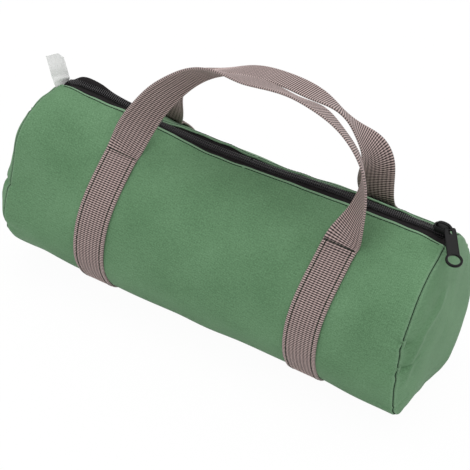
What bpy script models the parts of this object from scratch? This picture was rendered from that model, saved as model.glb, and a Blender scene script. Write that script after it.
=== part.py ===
"""Wide-mouth tool bag: a canvas barrel with a full-length coil zip, two straps and two handles.

The bag lies along X. The closed slider is at the +X end, the front is -Y, and the straps rest on z = 0.
"""

import math

import bmesh
import bpy
from mathutils import Matrix, Vector

# Canvas body, measured on the outer face of the canvas between the two end seams
LENGTH = 0.304
BODY_WIDTH = 0.128
BODY_HEIGHT = 0.125
CANVAS = 0.0015
END_BULGE = 0.009
# Half of the barrel's outline below the zip, as shares of half the width and of the height
SIDE_SHARES = (
    (0.30, 0.940),
    (0.48, 0.870),
    (0.66, 0.787),
    (0.84, 0.683),
    (0.96, 0.555),
    (1.0, 0.42),
    (0.97, 0.275),
    (0.87, 0.148),
    (0.70, 0.055),
    (0.50, 0.010),
    (0.30, 0.0),
)
OUTLINE_STEPS = 2
PANEL_RING_SHARES = (0.0, 0.3, 0.6, 0.85, 1.0)

# Running gap between pieces that touch
GAP = 0.0003
MERGE = 0.00001

# Mouth: the canvas beside the zip folds outwards along a straight line on each side
ZIP_EDGE = 0.008
FOLD_ARC = 0.034
MOUTH_INSET = 0.024
MIDDLE_INSET = 0.0155

# Tape that binds the end seams inside
BINDING = 0.001
BINDING_WIDTH = 0.010

# Zip
TAPE = 0.0008
TAPE_EDGE = 0.0008
TAPE_REACH = 0.0155
COIL_RADIUS = 0.0011
SLOT_INSET = 0.005
SLIDER_LENGTH = 0.012
SLIDER_WIDTH = 0.0086
SLIDER_PLATE = 0.0011
SLIDER_ROUND = 0.0004
WEB_LENGTH = 0.003
WEB_WIDTH = 0.001
SLIDER_INSET = 0.0085
LUG_WIDTH = 0.0014
LUG_RADIUS = 0.0019
LUG_HOLE = 0.001
PULL_RISE = 0.0028
PULL_SHIFT = 0.0015

# Pull
PULL_THICKNESS = 0.0014
PULL_LENGTH = 0.0245
RING_RADIUS = 0.00575
RING_HOLE = 0.0041
NECK_WIDTH = 0.0064
FORK_LENGTH = 0.0075
FORK_OPENING = 0.0024
PIN_RADIUS = 0.0006
PIN_REACH = 0.0012
PULL_AZIMUTH = math.radians(-50)
PULL_SLOPE = math.radians(13)

# Webbing
WEBBING_WIDTH = 0.025
WEBBING = 0.0014
STRAP_INSET = 0.068
HANDLE_RISE = 0.080
HANDLE_LEAN = math.radians(78)
HANDLE_TWIST = math.radians(90)
HANDLE_START = 0.0006
HANDLE_STEPS = 2
# Each handle's middle line from the left strap to the right, as shares of the strap's distance from
# mid-length, of the handle's rise and of its full twist
HANDLE_SHARES = {
    "front": (
        (-1.0, 0.0, 0.0),
        (-0.99, 0.09, 0.02),
        (-0.92, 0.21, 0.16),
        (-0.84, 0.39, 0.42),
        (-0.73, 0.58, 0.50),
        (-0.60, 0.75, 0.61),
        (-0.44, 0.89, 0.69),
        (-0.25, 0.97, 0.81),
        (-0.04, 0.98, 0.93),
        (0.17, 1.0, 0.90),
        (0.37, 1.0, 0.81),
        (0.58, 0.98, 0.87),
        (0.77, 0.90, 0.79),
        (0.94, 0.78, 0.76),
        (1.07, 0.60, 0.71),
        (1.10, 0.39, 0.59),
        (1.07, 0.20, 0.24),
        (1.01, 0.09, 0.02),
        (1.0, 0.0, 0.0),
    ),
    "rear": (
        (-1.0, 0.0, 0.0),
        (-0.99, 0.08, 0.02),
        (-0.93, 0.18, 0.13),
        (-0.84, 0.33, 0.40),
        (-0.75, 0.50, 0.84),
        (-0.62, 0.67, 1.18),
        (-0.46, 0.77, 1.26),
        (-0.29, 0.83, 1.24),
        (-0.11, 0.86, 1.21),
        (0.07, 0.89, 1.23),
        (0.26, 0.88, 1.23),
        (0.44, 0.85, 1.30),
        (0.62, 0.79, 1.45),
        (0.76, 0.67, 1.34),
        (0.90, 0.54, 0.99),
        (0.96, 0.37, 0.52),
        (0.97, 0.18, 0.17),
        (0.99, 0.08, 0.02),
        (1.0, 0.0, 0.0),
    ),
}

# Blank ribbon tag, sewn in at the open end of the zip
TAG_WIDTH = 0.012
TAG_HEIGHT = 0.020
TAG_THICKNESS = 0.0008
TAG_LEAN = math.radians(22)

ROUND_SIDES = 24
SHARP_EDGE = math.radians(40)

# Places that follow from the sizes above
MOUTH_HALF = LENGTH / 2 - MOUTH_INSET
SLOT_END = LENGTH / 2 - SLOT_INSET
SLIDER_REST = LENGTH / 2 - SLIDER_INSET
STRAP_CENTRE = LENGTH / 2 - STRAP_INSET
MIDDLE_HALF = STRAP_CENTRE - WEBBING_WIDTH / 2 - MIDDLE_INSET
ZIP_LAYER = CANVAS + GAP
BASE = WEBBING + GAP
BODY_TOP = BASE + BODY_HEIGHT
PANEL_BACK = LENGTH / 2 - CANVAS - GAP
COIL_HEIGHT = BODY_TOP - ZIP_LAYER + GAP + COIL_RADIUS
COIL_OFFSET = TAPE_EDGE + COIL_RADIUS
SLIDER_TOP = COIL_HEIGHT + COIL_RADIUS + GAP + SLIDER_PLATE
SLIDER_FOOT = BODY_TOP - ZIP_LAYER - TAPE - GAP - SLIDER_PLATE

SIDES = {"front": -1, "rear": 1}
SPANS = {
    "left": (-MOUTH_HALF, -MIDDLE_HALF),
    "middle": (-MIDDLE_HALF, MIDDLE_HALF),
    "right": (MIDDLE_HALF, MOUTH_HALF),
}


def clear_scene():
    for item in list(bpy.data.objects):
        bpy.data.objects.remove(item, do_unlink=True)


def new_collection(name):
    collection = bpy.data.collections.new(name)
    bpy.context.scene.collection.children.link(collection)
    return collection


def linear(channel):
    """One sRGB channel, 0 to 1, as linear light."""
    if channel <= 0.04045:
        return channel / 12.92
    return ((channel + 0.055) / 1.055) ** 2.4


def material(name, colour, roughness, metallic=0.0):
    found = bpy.data.materials.get(name)
    if found:
        return found
    made = bpy.data.materials.new(name)
    made.use_nodes = True
    channels = [linear(int(colour[place : place + 2], 16) / 255) for place in (1, 3, 5)]
    shader = made.node_tree.nodes["Principled BSDF"]
    shader.inputs["Base Color"].default_value = (*channels, 1.0)
    shader.inputs["Roughness"].default_value = roughness
    shader.inputs["Metallic"].default_value = metallic
    return made


def canvas_green():
    return material("green_canvas", "#608162", 0.9)


def webbing_mauve():
    return material("mauve_webbing", "#887774", 0.8)


def tape_black():
    return material("black_zip_tape", "#26221f", 0.85)


def coil_black():
    return material("black_nylon_coil", "#282926", 0.4)


def enamel_black():
    return material("black_enamel", "#171817", 0.35, 0.2)


def tag_white():
    return material("white_ribbon", "#e6e6e6", 0.7)


def binding_black():
    return material("black_binding", "#1d1c1b", 0.85)


def curve_point(points, index, share):
    """A point on the smooth curve through the points, a share of the way from one to the next."""
    before, start, end, after = points[index - 1 : index + 3]
    along = (end - before) / 2
    onward = (after - start) / 2
    square = share * share
    cube = square * share
    return (
        (2 * cube - 3 * square + 1) * start
        + (cube - 2 * square + share) * along
        + (3 * square - 2 * cube) * end
        + (cube - square) * onward
    )


def rear_outline():
    """The barrel's rear half as (y, z), from the edge of the zip to the flat underside."""
    half = BODY_WIDTH / 2
    points = [Vector((-ZIP_EDGE, BODY_HEIGHT)), Vector((ZIP_EDGE, BODY_HEIGHT))]
    points += [Vector((wide * half, high * BODY_HEIGHT)) for wide, high in SIDE_SHARES]
    points.append(Vector((2 * points[-1].x - points[-2].x, 0)))
    outline = []
    for index in range(1, len(points) - 2):
        outline += [curve_point(points, index, step / OUTLINE_STEPS) for step in range(OUTLINE_STEPS)]
    outline.append(points[-2])
    return outline


class Section:
    """The barrel's closed outline. Arc length runs from the zip over the rear and round to the front."""

    def __init__(self):
        rear = rear_outline()
        front = [Vector((-point.x, point.y)) for point in reversed(rear)]
        self.points = [point + Vector((0, BASE)) for point in [Vector((0, BODY_HEIGHT))] + rear + front]
        self.points.append(self.points[0])
        self.arcs = [0.0]
        for start, end in zip(self.points, self.points[1:]):
            self.arcs.append(self.arcs[-1] + (end - start).length)
        self.girth = self.arcs[-1]
        self.mitres = [self.mitre(index) for index in range(len(self.points))]

    def mitre(self, index):
        """Outward direction whose facets stay parallel when the outline is offset along it."""
        if index in (0, len(self.points) - 1):
            return Vector((0, 1))
        before = (self.points[index] - self.points[index - 1]).normalized()
        after = (self.points[index + 1] - self.points[index]).normalized()
        middle = Vector((-(before + after).y, (before + after).x)).normalized()
        return middle / middle.dot(Vector((-before.y, before.x)))

    def at(self, arc, depth=0.0):
        """(y, z) at an arc length, this deep under the outer face of the canvas."""
        arc %= self.girth
        index = max(place for place, start in enumerate(self.arcs[:-1]) if start <= arc)
        share = (arc - self.arcs[index]) / (self.arcs[index + 1] - self.arcs[index])
        point = self.points[index].lerp(self.points[index + 1], share)
        return point - depth * self.mitres[index].lerp(self.mitres[index + 1], share)

    def stations(self, start, end):
        """Arc lengths of the outline's own points between two arcs, with both ends."""
        rounds = [arc - self.girth for arc in self.arcs[:-1]] + self.arcs[:-1]
        between = [arc for arc in rounds if start + GAP < arc < end - GAP]
        return [start] + sorted(between) + [end]


def add_object(name, data, collection, finish):
    made = bpy.data.objects.new(name, data)
    made.data.materials.append(finish)
    collection.objects.link(made)
    return made


def sheet(name, columns, rows, place, thickness, finish, collection, keep=None):
    """A grid that a function puts in place, thickened behind its outer face."""
    mesh = bmesh.new()
    across = len(columns) - 1
    along = len(rows) - 1
    bmesh.ops.create_grid(mesh, x_segments=across, y_segments=along, size=1.0)
    cells = {}
    for vertex in mesh.verts:
        column = round((vertex.co.x + 1) / 2 * across)
        row = round((vertex.co.y + 1) / 2 * along)
        cells[vertex] = (columns[column], rows[row])
    if keep:
        dropped = []
        for face in mesh.faces:
            corners = [cells[vertex] for vertex in face.verts]
            middle = [sum(values) / len(corners) for values in zip(*corners)]
            if not keep(*middle):
                dropped.append(face)
        bmesh.ops.delete(mesh, geom=dropped, context="FACES")
    for vertex in mesh.verts:
        vertex.co = place(*cells[vertex])
    bmesh.ops.remove_doubles(mesh, verts=mesh.verts, dist=MERGE)
    data = bpy.data.meshes.new(name)
    mesh.to_mesh(data)
    mesh.free()
    data.shade_smooth()
    data.set_sharp_from_angle(angle=SHARP_EDGE)
    made = add_object(name, data, collection, finish)
    shell = made.modifiers.new("thickness", "SOLIDIFY")
    shell.thickness = thickness
    shell.offset = -1.0
    shell.use_even_offset = True
    return made


def skin(name, section, span, arcs, depth, thickness, finish, collection):
    """A strip of cloth that follows the barrel between two x values and two arcs."""
    return sheet(
        name,
        list(span),
        section.stations(*arcs),
        lambda x, arc: Vector((x, *section.at(arc, depth))),
        thickness,
        finish,
        collection,
    )


def put_origin(made, origin):
    """Moves an object's origin to a point on its joint's axis and leaves the shape where it is."""
    made.data.transform(Matrix.Translation(-origin))
    made.location = origin


def fold_point(section, side):
    """A point at mid-length on the line where a side of the mouth folds."""
    return Vector((0, *section.at(side * FOLD_ARC)))


def handle_point(section, side):
    """A point at mid-length on the line where a handle turns, on the strap's outer face."""
    return Vector((0, *section.at(side * FOLD_ARC, -BASE)))


def arcs_on(side, near, far):
    """Two arc lengths beside the zip, in rising order on either side."""
    return sorted((side * near, side * far))


def main_panel(section, collection):
    """The canvas that wraps the barrel, with the mouth left out between the two ends."""
    fold = FOLD_ARC + GAP / 2
    rear = section.stations(ZIP_EDGE, fold)
    under = section.stations(fold, section.girth - fold)
    front = section.stations(section.girth - fold, section.girth - ZIP_EDGE)
    inner = MOUTH_HALF + GAP / 2
    return sheet(
        "main_panel",
        [-LENGTH / 2, -inner, inner, LENGTH / 2],
        rear + under[1:] + front[1:],
        lambda x, arc: Vector((x, *section.at(arc))),
        CANVAS,
        canvas_green(),
        collection,
        keep=lambda x, arc: abs(x) > inner or fold < arc < section.girth - fold,
    )


def end_panel(name, section, side, collection):
    """The bulged canvas disc in one end. It is laid out for the left end and turned about Z for the right."""
    centre = Vector((0, BASE + BODY_HEIGHT / 2))

    def place(share, arc):
        rim = section.at(arc, ZIP_LAYER)
        point = centre.lerp(rim, share)
        out = LENGTH / 2 + END_BULGE * (1 - share * share)
        return Vector((-out, *point))

    panel = sheet(
        name,
        PANEL_RING_SHARES,
        section.arcs,
        place,
        CANVAS,
        canvas_green(),
        collection,
    )
    if side > 0:
        panel.data.transform(Matrix.Rotation(math.pi, 4, "Z"))
    return panel


def seam_binding(name, section, side, collection):
    """The tape over the seam allowance inside one end, open under the zip."""
    clear = TAPE_REACH + GAP
    span = sorted((side * PANEL_BACK, side * (PANEL_BACK - BINDING_WIDTH)))
    arcs = (clear, section.girth - clear)
    return skin(name, section, span, arcs, ZIP_LAYER, BINDING, binding_black(), collection)


def coil(name, side, span, collection):
    """One row of the zip's coil as a round bar along its tape's edge."""
    data = bpy.data.curves.new(name, "CURVE")
    data.dimensions = "3D"
    data.bevel_depth = COIL_RADIUS
    data.bevel_resolution = 2
    data.use_fill_caps = True
    line = data.splines.new("POLY")
    line.points.add(1)
    for point, x in zip(line.points, span):
        point.co = (x, side * COIL_OFFSET, COIL_HEIGHT, 1)
    return add_object(name, data, collection, coil_black())


def mouth_piece(section, side_name, span_name, collection):
    """One folding plate of the mouth: its canvas, its zip tape and its row of coil."""
    side = SIDES[side_name]
    start, end = SPANS[span_name]
    span = (start + GAP / 2, end - GAP / 2)
    lip_arcs = arcs_on(side, ZIP_EDGE, FOLD_ARC - GAP / 2)
    tape_arcs = arcs_on(side, TAPE_EDGE, TAPE_REACH)
    label = f"{side_name}_{{}}_{span_name}"
    lip = skin(label.format("lip"), section, span, lip_arcs, 0, CANVAS, canvas_green(), collection)
    tape = skin(
        label.format("tape"), section, span, tape_arcs, ZIP_LAYER, TAPE, tape_black(), collection
    )
    row = coil(label.format("coil"), side, span, collection)
    for made in (lip, tape, row):
        put_origin(made, fold_point(section, side))


def zip_end(name, section, side, collection):
    """The fixed end of the zip: both tapes, joined past the slot that the slider's web runs in."""
    inner = MOUTH_HALF + GAP / 2
    columns = sorted((side * inner, side * SLOT_END, side * PANEL_BACK))
    rows = section.stations(-TAPE_REACH, -TAPE_EDGE) + section.stations(TAPE_EDGE, TAPE_REACH)
    tapes = sheet(
        name,
        columns,
        rows,
        lambda x, arc: Vector((x, *section.at(arc, ZIP_LAYER))),
        TAPE,
        tape_black(),
        collection,
        keep=lambda x, arc: abs(arc) > TAPE_EDGE or abs(x) > SLOT_END,
    )
    span = sorted((side * inner, side * (PANEL_BACK - GAP)))
    for side_name, row_side in SIDES.items():
        coil(f"{name}_{side_name}_coil", row_side, span, collection)
    return tapes


def box(name, size, centre, collection, finish=None):
    mesh = bmesh.new()
    bmesh.ops.create_cube(mesh, size=1.0)
    bmesh.ops.scale(mesh, vec=size, verts=mesh.verts)
    bmesh.ops.translate(mesh, vec=centre, verts=mesh.verts)
    data = bpy.data.meshes.new(name)
    mesh.to_mesh(data)
    mesh.free()
    return add_object(name, data, collection, finish or enamel_black())


def cylinder(name, radius, length, axis, centre, collection, finish=None):
    """A closed cylinder along X, Y or Z."""
    mesh = bmesh.new()
    bmesh.ops.create_cone(
        mesh, cap_ends=True, segments=ROUND_SIDES, radius1=radius, radius2=radius, depth=length
    )
    if axis == "Y":
        bmesh.ops.rotate(mesh, verts=mesh.verts, matrix=Matrix.Rotation(math.pi / 2, 3, "X"))
    bmesh.ops.translate(mesh, vec=centre, verts=mesh.verts)
    data = bpy.data.meshes.new(name)
    mesh.to_mesh(data)
    mesh.free()
    data.shade_smooth()
    data.set_sharp_from_angle(angle=SHARP_EDGE)
    return add_object(name, data, collection, finish or enamel_black())


def combine(target, other, operation):
    """Joins or cuts a part with a hidden helper."""
    other.hide_render = True
    other.display_type = "WIRE"
    change = target.modifiers.new(other.name, "BOOLEAN")
    change.operation = operation
    change.object = other
    change.solver = "EXACT"


def pull_turn():
    """The turn that takes a pull laid along X to its resting direction."""
    return Matrix.Rotation(PULL_AZIMUTH, 4, "Z") @ Matrix.Rotation(PULL_SLOPE, 4, "Y")


def pull_origin():
    """The middle of the pin that the pull swings on, with the slider closed."""
    shift = Vector((PULL_SHIFT, 0, 0))
    shift.rotate(Matrix.Rotation(PULL_AZIMUTH, 3, "Z"))
    return Vector((SLIDER_REST, 0, SLIDER_TOP + PULL_RISE)) + shift


def zip_slider(parts, helpers):
    """Two plates round the coil, a web in the slot between the tapes, and a lug for the pull's pin."""
    height = SLIDER_TOP - SLIDER_FOOT
    top_centre = Vector((SLIDER_REST, 0, SLIDER_TOP - SLIDER_PLATE / 2))
    foot_centre = Vector((SLIDER_REST, 0, SLIDER_FOOT + SLIDER_PLATE / 2))
    plate = (SLIDER_LENGTH, SLIDER_WIDTH, SLIDER_PLATE)
    slider = box("zip_slider", plate, top_centre, parts)
    foot = box("slider_foot", plate, foot_centre, helpers)
    for made in (slider, foot):
        edge = made.modifiers.new("edge", "BEVEL")
        edge.width = SLIDER_ROUND
        edge.segments = 2
    web_size = (WEB_LENGTH, WEB_WIDTH, height - SLIDER_PLATE)
    web_centre = Vector((SLIDER_REST, 0, (SLIDER_TOP + SLIDER_FOOT) / 2))
    web = box("slider_web", web_size, web_centre, helpers)
    origin = pull_origin()
    turn = Matrix.Translation(origin) @ Matrix.Rotation(PULL_AZIMUTH, 4, "Z")
    lug = cylinder("slider_lug", LUG_RADIUS, LUG_WIDTH, "Y", Vector(), helpers)
    foot_height = PULL_RISE + SLIDER_PLATE / 2
    stem_size = (2 * LUG_RADIUS, LUG_WIDTH, foot_height)
    stem = box("slider_lug_stem", stem_size, Vector((0, 0, -foot_height / 2)), helpers)
    eye = cylinder("slider_eye", LUG_HOLE, 2 * LUG_WIDTH, "Y", Vector(), helpers)
    for made in (lug, stem, eye):
        made.data.transform(turn)
    for other in (foot, web, stem, lug):
        combine(slider, other, "UNION")
    combine(slider, eye, "DIFFERENCE")
    return slider


def zip_pull(parts, helpers):
    """A flat ring on a forked neck, with the pin that passes through the slider's lug."""
    ring_centre = Vector((PULL_LENGTH - RING_RADIUS, 0, 0))
    pull = cylinder("zip_pull", RING_RADIUS, PULL_THICKNESS, "Z", ring_centre, parts)
    neck_length = ring_centre.x + PIN_REACH
    neck_size = (neck_length, NECK_WIDTH, PULL_THICKNESS)
    neck_centre = Vector((neck_length / 2 - PIN_REACH, 0, 0))
    neck = box("pull_neck", neck_size, neck_centre, helpers)
    hole = cylinder("pull_hole", RING_HOLE, 2 * PULL_THICKNESS, "Z", ring_centre, helpers)
    fork_size = (2 * FORK_LENGTH, FORK_OPENING, 2 * PULL_THICKNESS)
    fork = box("pull_fork", fork_size, Vector(), helpers)
    pin_length = (NECK_WIDTH + FORK_OPENING) / 2
    pin = cylinder("pull_pin", PIN_RADIUS, pin_length, "Y", Vector(), helpers)
    place = Matrix.Translation(pull_origin()) @ pull_turn()
    for made in (neck, hole, fork, pin):
        made.data.transform(place)
    pull.data.transform(pull_turn())
    pull.location = pull_origin()
    combine(pull, neck, "UNION")
    combine(pull, hole, "DIFFERENCE")
    combine(pull, fork, "DIFFERENCE")
    combine(pull, pin, "UNION")
    return pull


def strap(name, section, centre, collection):
    """Webbing sewn round the barrel from one fold line, under the bag, to the other."""
    edge = FOLD_ARC + GAP
    span = (centre - WEBBING_WIDTH / 2, centre + WEBBING_WIDTH / 2)
    arcs = (edge, section.girth - edge)
    return skin(name, section, span, arcs, -BASE, WEBBING, webbing_mauve(), collection)


def handle_path(shares):
    """Points (x, height, twist) along a handle's middle line. One more below each end keeps it upright."""
    points = []
    for across, high, turned in shares:
        points.append(Vector((across * STRAP_CENTRE, high * HANDLE_RISE, turned * HANDLE_TWIST)))
    below = Matrix.Diagonal((1, -1, -1))
    points = [below @ points[1], *points, below @ points[-2]]
    path = []
    for index in range(1, len(points) - 2):
        path += [curve_point(points, index, step / HANDLE_STEPS) for step in range(HANDLE_STEPS)]
    path.append(points[-2])
    return [below @ path[1], *path, below @ path[-2]]


def handle(name, section, side_name, collection):
    """Webbing that leaves one side's two straps, twists, and lies nearly flat along its top."""
    side = SIDES[side_name]
    origin = handle_point(section, side)
    across = Vector((1, 0, 0))
    rise = Vector((0, -side * math.cos(HANDLE_LEAN), math.sin(HANDLE_LEAN)))
    face = Vector((0, side * rise.z, -side * rise.y))
    path = handle_path(HANDLE_SHARES[side_name])
    half = WEBBING_WIDTH / 2

    def place(offset, row):
        x, height, twist = path[row]
        along = (path[row + 1] - path[row - 1]).to_2d().normalized()
        outward = along.x * rise - along.y * across
        width = math.cos(twist) * outward + math.sin(twist) * face
        return origin + x * across + (HANDLE_START + height) * rise + offset * width

    rows = range(1, len(path) - 1)
    if side < 0:
        rows = rows[::-1]
    made = sheet(name, [-half, 0, half], rows, place, WEBBING, webbing_mauve(), collection)
    put_origin(made, origin)
    return made


def tag(collection):
    """A blank folded ribbon that stands out of the end seam beside the zip."""
    foot = Vector((-LENGTH / 2 + CANVAS / 2, 0, BODY_TOP - ZIP_LAYER + GAP))
    made = box(
        "ribbon_tag",
        (TAG_THICKNESS, TAG_WIDTH, TAG_HEIGHT),
        Vector((0, 0, TAG_HEIGHT / 2)),
        collection,
        tag_white(),
    )
    lift = Vector((0, 0, TAG_THICKNESS / 2 * math.sin(TAG_LEAN)))
    made.data.transform(Matrix.Rotation(-TAG_LEAN, 4, "Y"))
    made.location = foot + lift
    return made


def build():
    clear_scene()
    parts = new_collection("wide_mouth_tool_bag")
    helpers = new_collection("cutters")
    section = Section()
    main_panel(section, parts)
    for end_name, side in (("left", -1), ("right", 1)):
        end_panel(f"{end_name}_end_panel", section, side, parts)
        seam_binding(f"{end_name}_seam_binding", section, side, parts)
        zip_end(f"{end_name}_zip_end", section, side, parts)
        strap(f"{end_name}_strap", section, side * STRAP_CENTRE, parts)
    for side_name in SIDES:
        for span_name in SPANS:
            mouth_piece(section, side_name, span_name, parts)
        handle(f"{side_name}_handle", section, side_name, parts)
    zip_slider(parts, helpers)
    zip_pull(parts, helpers)
    tag(parts)
    print("fold line", [round(value, 6) for value in fold_point(section, -1)])
    print("handle line", [round(value, 6) for value in handle_point(section, -1)])
    print("pull pin", [round(value, 6) for value in pull_origin()])
    print("girth", round(section.girth, 5))


build()
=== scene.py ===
# %% [markdown]
# # Wide-mouth tool bag
#
# A soft canvas barrel with a zip along its whole length, two webbing straps sewn round it, and two
# webbing handles that the straps run into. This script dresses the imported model. Each cell makes one
# piece or one finish, and says what the real thing is and how it is drawn here.
#
# Lengths in this script are millimetres until a mesh is made. X runs along the bag, the front is -Y,
# and the bag lies on z = 0.

import math

import bmesh
import bpy
import numpy as np
from mathutils import Matrix, Vector


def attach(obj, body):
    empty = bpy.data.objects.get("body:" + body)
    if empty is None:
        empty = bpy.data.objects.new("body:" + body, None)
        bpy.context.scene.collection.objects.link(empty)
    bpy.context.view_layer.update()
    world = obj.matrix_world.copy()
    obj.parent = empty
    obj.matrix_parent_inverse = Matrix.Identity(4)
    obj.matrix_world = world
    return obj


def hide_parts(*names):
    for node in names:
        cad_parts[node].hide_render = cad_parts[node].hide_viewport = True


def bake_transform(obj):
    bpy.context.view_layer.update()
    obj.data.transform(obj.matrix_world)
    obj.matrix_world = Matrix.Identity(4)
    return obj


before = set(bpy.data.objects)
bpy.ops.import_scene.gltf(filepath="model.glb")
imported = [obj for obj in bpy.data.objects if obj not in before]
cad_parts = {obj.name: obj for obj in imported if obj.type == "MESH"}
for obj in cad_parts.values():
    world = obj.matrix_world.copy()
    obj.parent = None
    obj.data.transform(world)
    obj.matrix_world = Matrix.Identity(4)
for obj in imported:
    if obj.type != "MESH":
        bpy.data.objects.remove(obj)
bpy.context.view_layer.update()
MM = 0.001


# %% [markdown]
# ## Small tools
#
# Everything is built as point grids in numpy. A grid that carries an outer and an inner face becomes a
# closed shell, so each cloth has its real thickness from every side.

# %% Curves through control points
def smooth(value, start, end):
    """0 before start, 1 after end, and an even S in between."""
    share = np.clip((np.asarray(value, float) - start) / (end - start), 0, 1)
    return share * share * (3 - 2 * share)


def bump(value, centre, width):
    return np.exp(-(((np.asarray(value, float) - centre) / width) ** 2))


def spline_rows(knots, at):
    """Weights that give a natural cubic spline's values at some places from its values at the knots."""
    knots = np.asarray(knots, float)
    at = np.clip(np.asarray(at, float).ravel(), knots[0], knots[-1])
    count = len(knots)
    step = np.diff(knots)
    left = np.zeros((count, count))
    right = np.zeros((count, count))
    left[0, 0] = left[-1, -1] = 1
    for i in range(1, count - 1):
        left[i, i - 1 : i + 2] = step[i - 1], 2 * (step[i - 1] + step[i]), step[i]
        right[i, i - 1] = 6 / step[i - 1]
        right[i, i + 1] = 6 / step[i]
        right[i, i] = -right[i, i - 1] - right[i, i + 1]
    second = np.linalg.solve(left, right)
    index = np.clip(np.searchsorted(knots, at, side="right") - 1, 0, count - 2)
    width = step[index]
    b = (at - knots[index]) / width
    a = 1 - b
    rows = ((a**3 - a) * width**2 / 6)[:, None] * second[index]
    rows += ((b**3 - b) * width**2 / 6)[:, None] * second[index + 1]
    rows[np.arange(len(at)), index] += a
    rows[np.arange(len(at)), index + 1] += b
    return rows


def along_path(points):
    """Distance along a row of points."""
    return np.concatenate([[0], np.cumsum(np.linalg.norm(np.diff(points, axis=0), axis=1))])


def unit(vectors):
    return vectors / np.maximum(np.linalg.norm(vectors, axis=-1, keepdims=True), 1e-12)


# %% Meshes
def in_scene(name, data):
    """An object in the scene for a mesh, a lamp or a camera."""
    made = bpy.data.objects.new(name, data)
    bpy.context.scene.collection.objects.link(made)
    return made


def enclosed(points, faces):
    """Six times the volume inside a closed shape, negative when its faces look inwards."""
    points = points - points.mean(axis=0)
    total = 0.0
    for count in set(map(len, faces)):
        group = np.array([face for face in faces if len(face) == count])
        for k in range(1, count - 1):
            side = np.cross(points[group[:, k]], points[group[:, k + 1]])
            total += float(np.sum(points[group[:, 0]] * side))
    return total


def piece(name, points, faces, material, uv=None, sharp=42):
    """A mesh from points in millimetres, turned so that its faces look outwards."""
    points = np.asarray(points, float).reshape(-1, 3)
    faces = [list(map(int, face)) for face in faces]
    if enclosed(points, faces) < 0:
        faces = [face[::-1] for face in faces]
    mesh = bpy.data.meshes.new(name)
    mesh.from_pydata((points * MM).tolist(), [], faces)
    mesh.materials.append(material)
    if uv is not None:
        layer = mesh.uv_layers.new(name=CLOTH_UV)
        corner = np.empty(len(mesh.loops), np.int32)
        mesh.loops.foreach_get("vertex_index", corner)
        layer.data.foreach_set("uv", np.asarray(uv, np.float32).reshape(-1, 2)[corner].ravel())
    mesh.shade_smooth()
    mesh.set_sharp_from_angle(angle=math.radians(sharp))
    return in_scene(name, mesh)


def quads(ids):
    """Four-cornered faces of a grid of point numbers."""
    return np.stack([ids[:-1, :-1], ids[1:, :-1], ids[1:, 1:], ids[:-1, 1:]], axis=-1).reshape(-1, 4)


def wrapped(rows, columns):
    """Point numbers of a grid whose last column joins its first."""
    ids = np.arange(rows * columns).reshape(rows, columns)
    return np.concatenate([ids, ids[:, :1]], axis=1)


def slab(outer, inner, uv, round_sides=()):
    """Points, faces and UVs of a closed shell between two grids. A named side gets a rounded edge."""
    rows, columns = outer.shape[:2]
    count = rows * columns
    ids = np.arange(count).reshape(rows, columns)
    points = [outer.reshape(-1, 3), inner.reshape(-1, 3)]
    coords = [uv.reshape(-1, 2), uv.reshape(-1, 2)]
    faces = [quads(ids), quads(ids + count)[:, ::-1]]
    sides = {
        "start": ((0, slice(None)), (1, slice(None)), False),
        "end": ((-1, slice(None)), (-2, slice(None)), True),
        "low": ((slice(None), 0), (slice(None), 1), True),
        "high": ((slice(None), -1), (slice(None), -2), False),
    }
    extra = 2 * count
    for side, (edge, beside, turned) in sides.items():
        rings = [ids[edge]]
        if side in round_sides:
            away = unit(outer[edge] - outer[beside])
            half = np.linalg.norm(outer[edge] - inner[edge], axis=-1, keepdims=True) / 2
            middle = (outer[edge] + inner[edge]) / 2
            up = (outer[edge] - inner[edge]) / 2
            for angle in (45, 0, -45):
                turn = math.radians(angle)
                points.append(middle + away * half * math.cos(turn) + up * math.sin(turn))
                coords.append(uv[edge])
                rings.append(np.arange(extra, extra + len(middle)))
                extra += len(middle)
        rings.append(ids[edge] + count)
        grid = np.stack(rings)
        faces.append(quads(grid)[:, ::-1] if turned else quads(grid))
    return np.concatenate(points), np.concatenate(faces), np.concatenate(coords)


# %% [markdown]
# ## Finishes
#
# Each finish is a node tree on the cloth's own millimetre coordinates, so a thread is as wide on the
# model as it is on the bag. The canvas is a plain weave, the webbing a double-layer weave whose ribs
# are real relief in the mesh, and the zip a fine twill tape with a moulded nylon coil.

# %% Node and colour helpers
MATH, MIX, RAMP, NOISE = "ShaderNodeMath", "ShaderNodeMix", "ShaderNodeValToRGB", "ShaderNodeTexNoise"
CLOTH_UV = "cloth_mm"


def linear(colour):
    """An sRGB hex colour as linear light."""
    channels = [int(colour[k : k + 2], 16) / 255 for k in (1, 3, 5)]
    return tuple(c / 12.92 if c <= 0.04045 else ((c + 0.055) / 1.055) ** 2.4 for c in channels) + (1.0,)


def node(tree, kind, stops=(), **settings):
    """Adds a node with its settings and links.

    A keyword such as i0 names a socket by its number, and one with a capital names it by its name. Its
    value is a number, a hex colour, a socket or another node. Other keywords are the node's properties,
    and stops are a colour ramp's places and colours.
    """
    made = tree.nodes.new(kind)
    sockets = {}
    for key, value in settings.items():
        if key[0] == "i" and key[1:].isdigit():
            sockets[int(key[1:])] = value
        elif key[0].isupper():
            sockets[key.replace("_", " ")] = value
        else:
            setattr(made, key, value)
    for key, value in sockets.items():
        if isinstance(value, bpy.types.Node):
            value = next(output for output in value.outputs if output.enabled)
        if isinstance(value, bpy.types.NodeSocket):
            tree.links.new(value, made.inputs[key])
        else:
            made.inputs[key].default_value = linear(value) if str(value)[0] == "#" else value
    for index, (place, colour) in enumerate(stops):
        elements = made.color_ramp.elements
        if len(elements) < len(stops):
            elements.new(0.5)
        elements[index].position = place
        elements[index].color = linear(colour)
    return made


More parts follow.
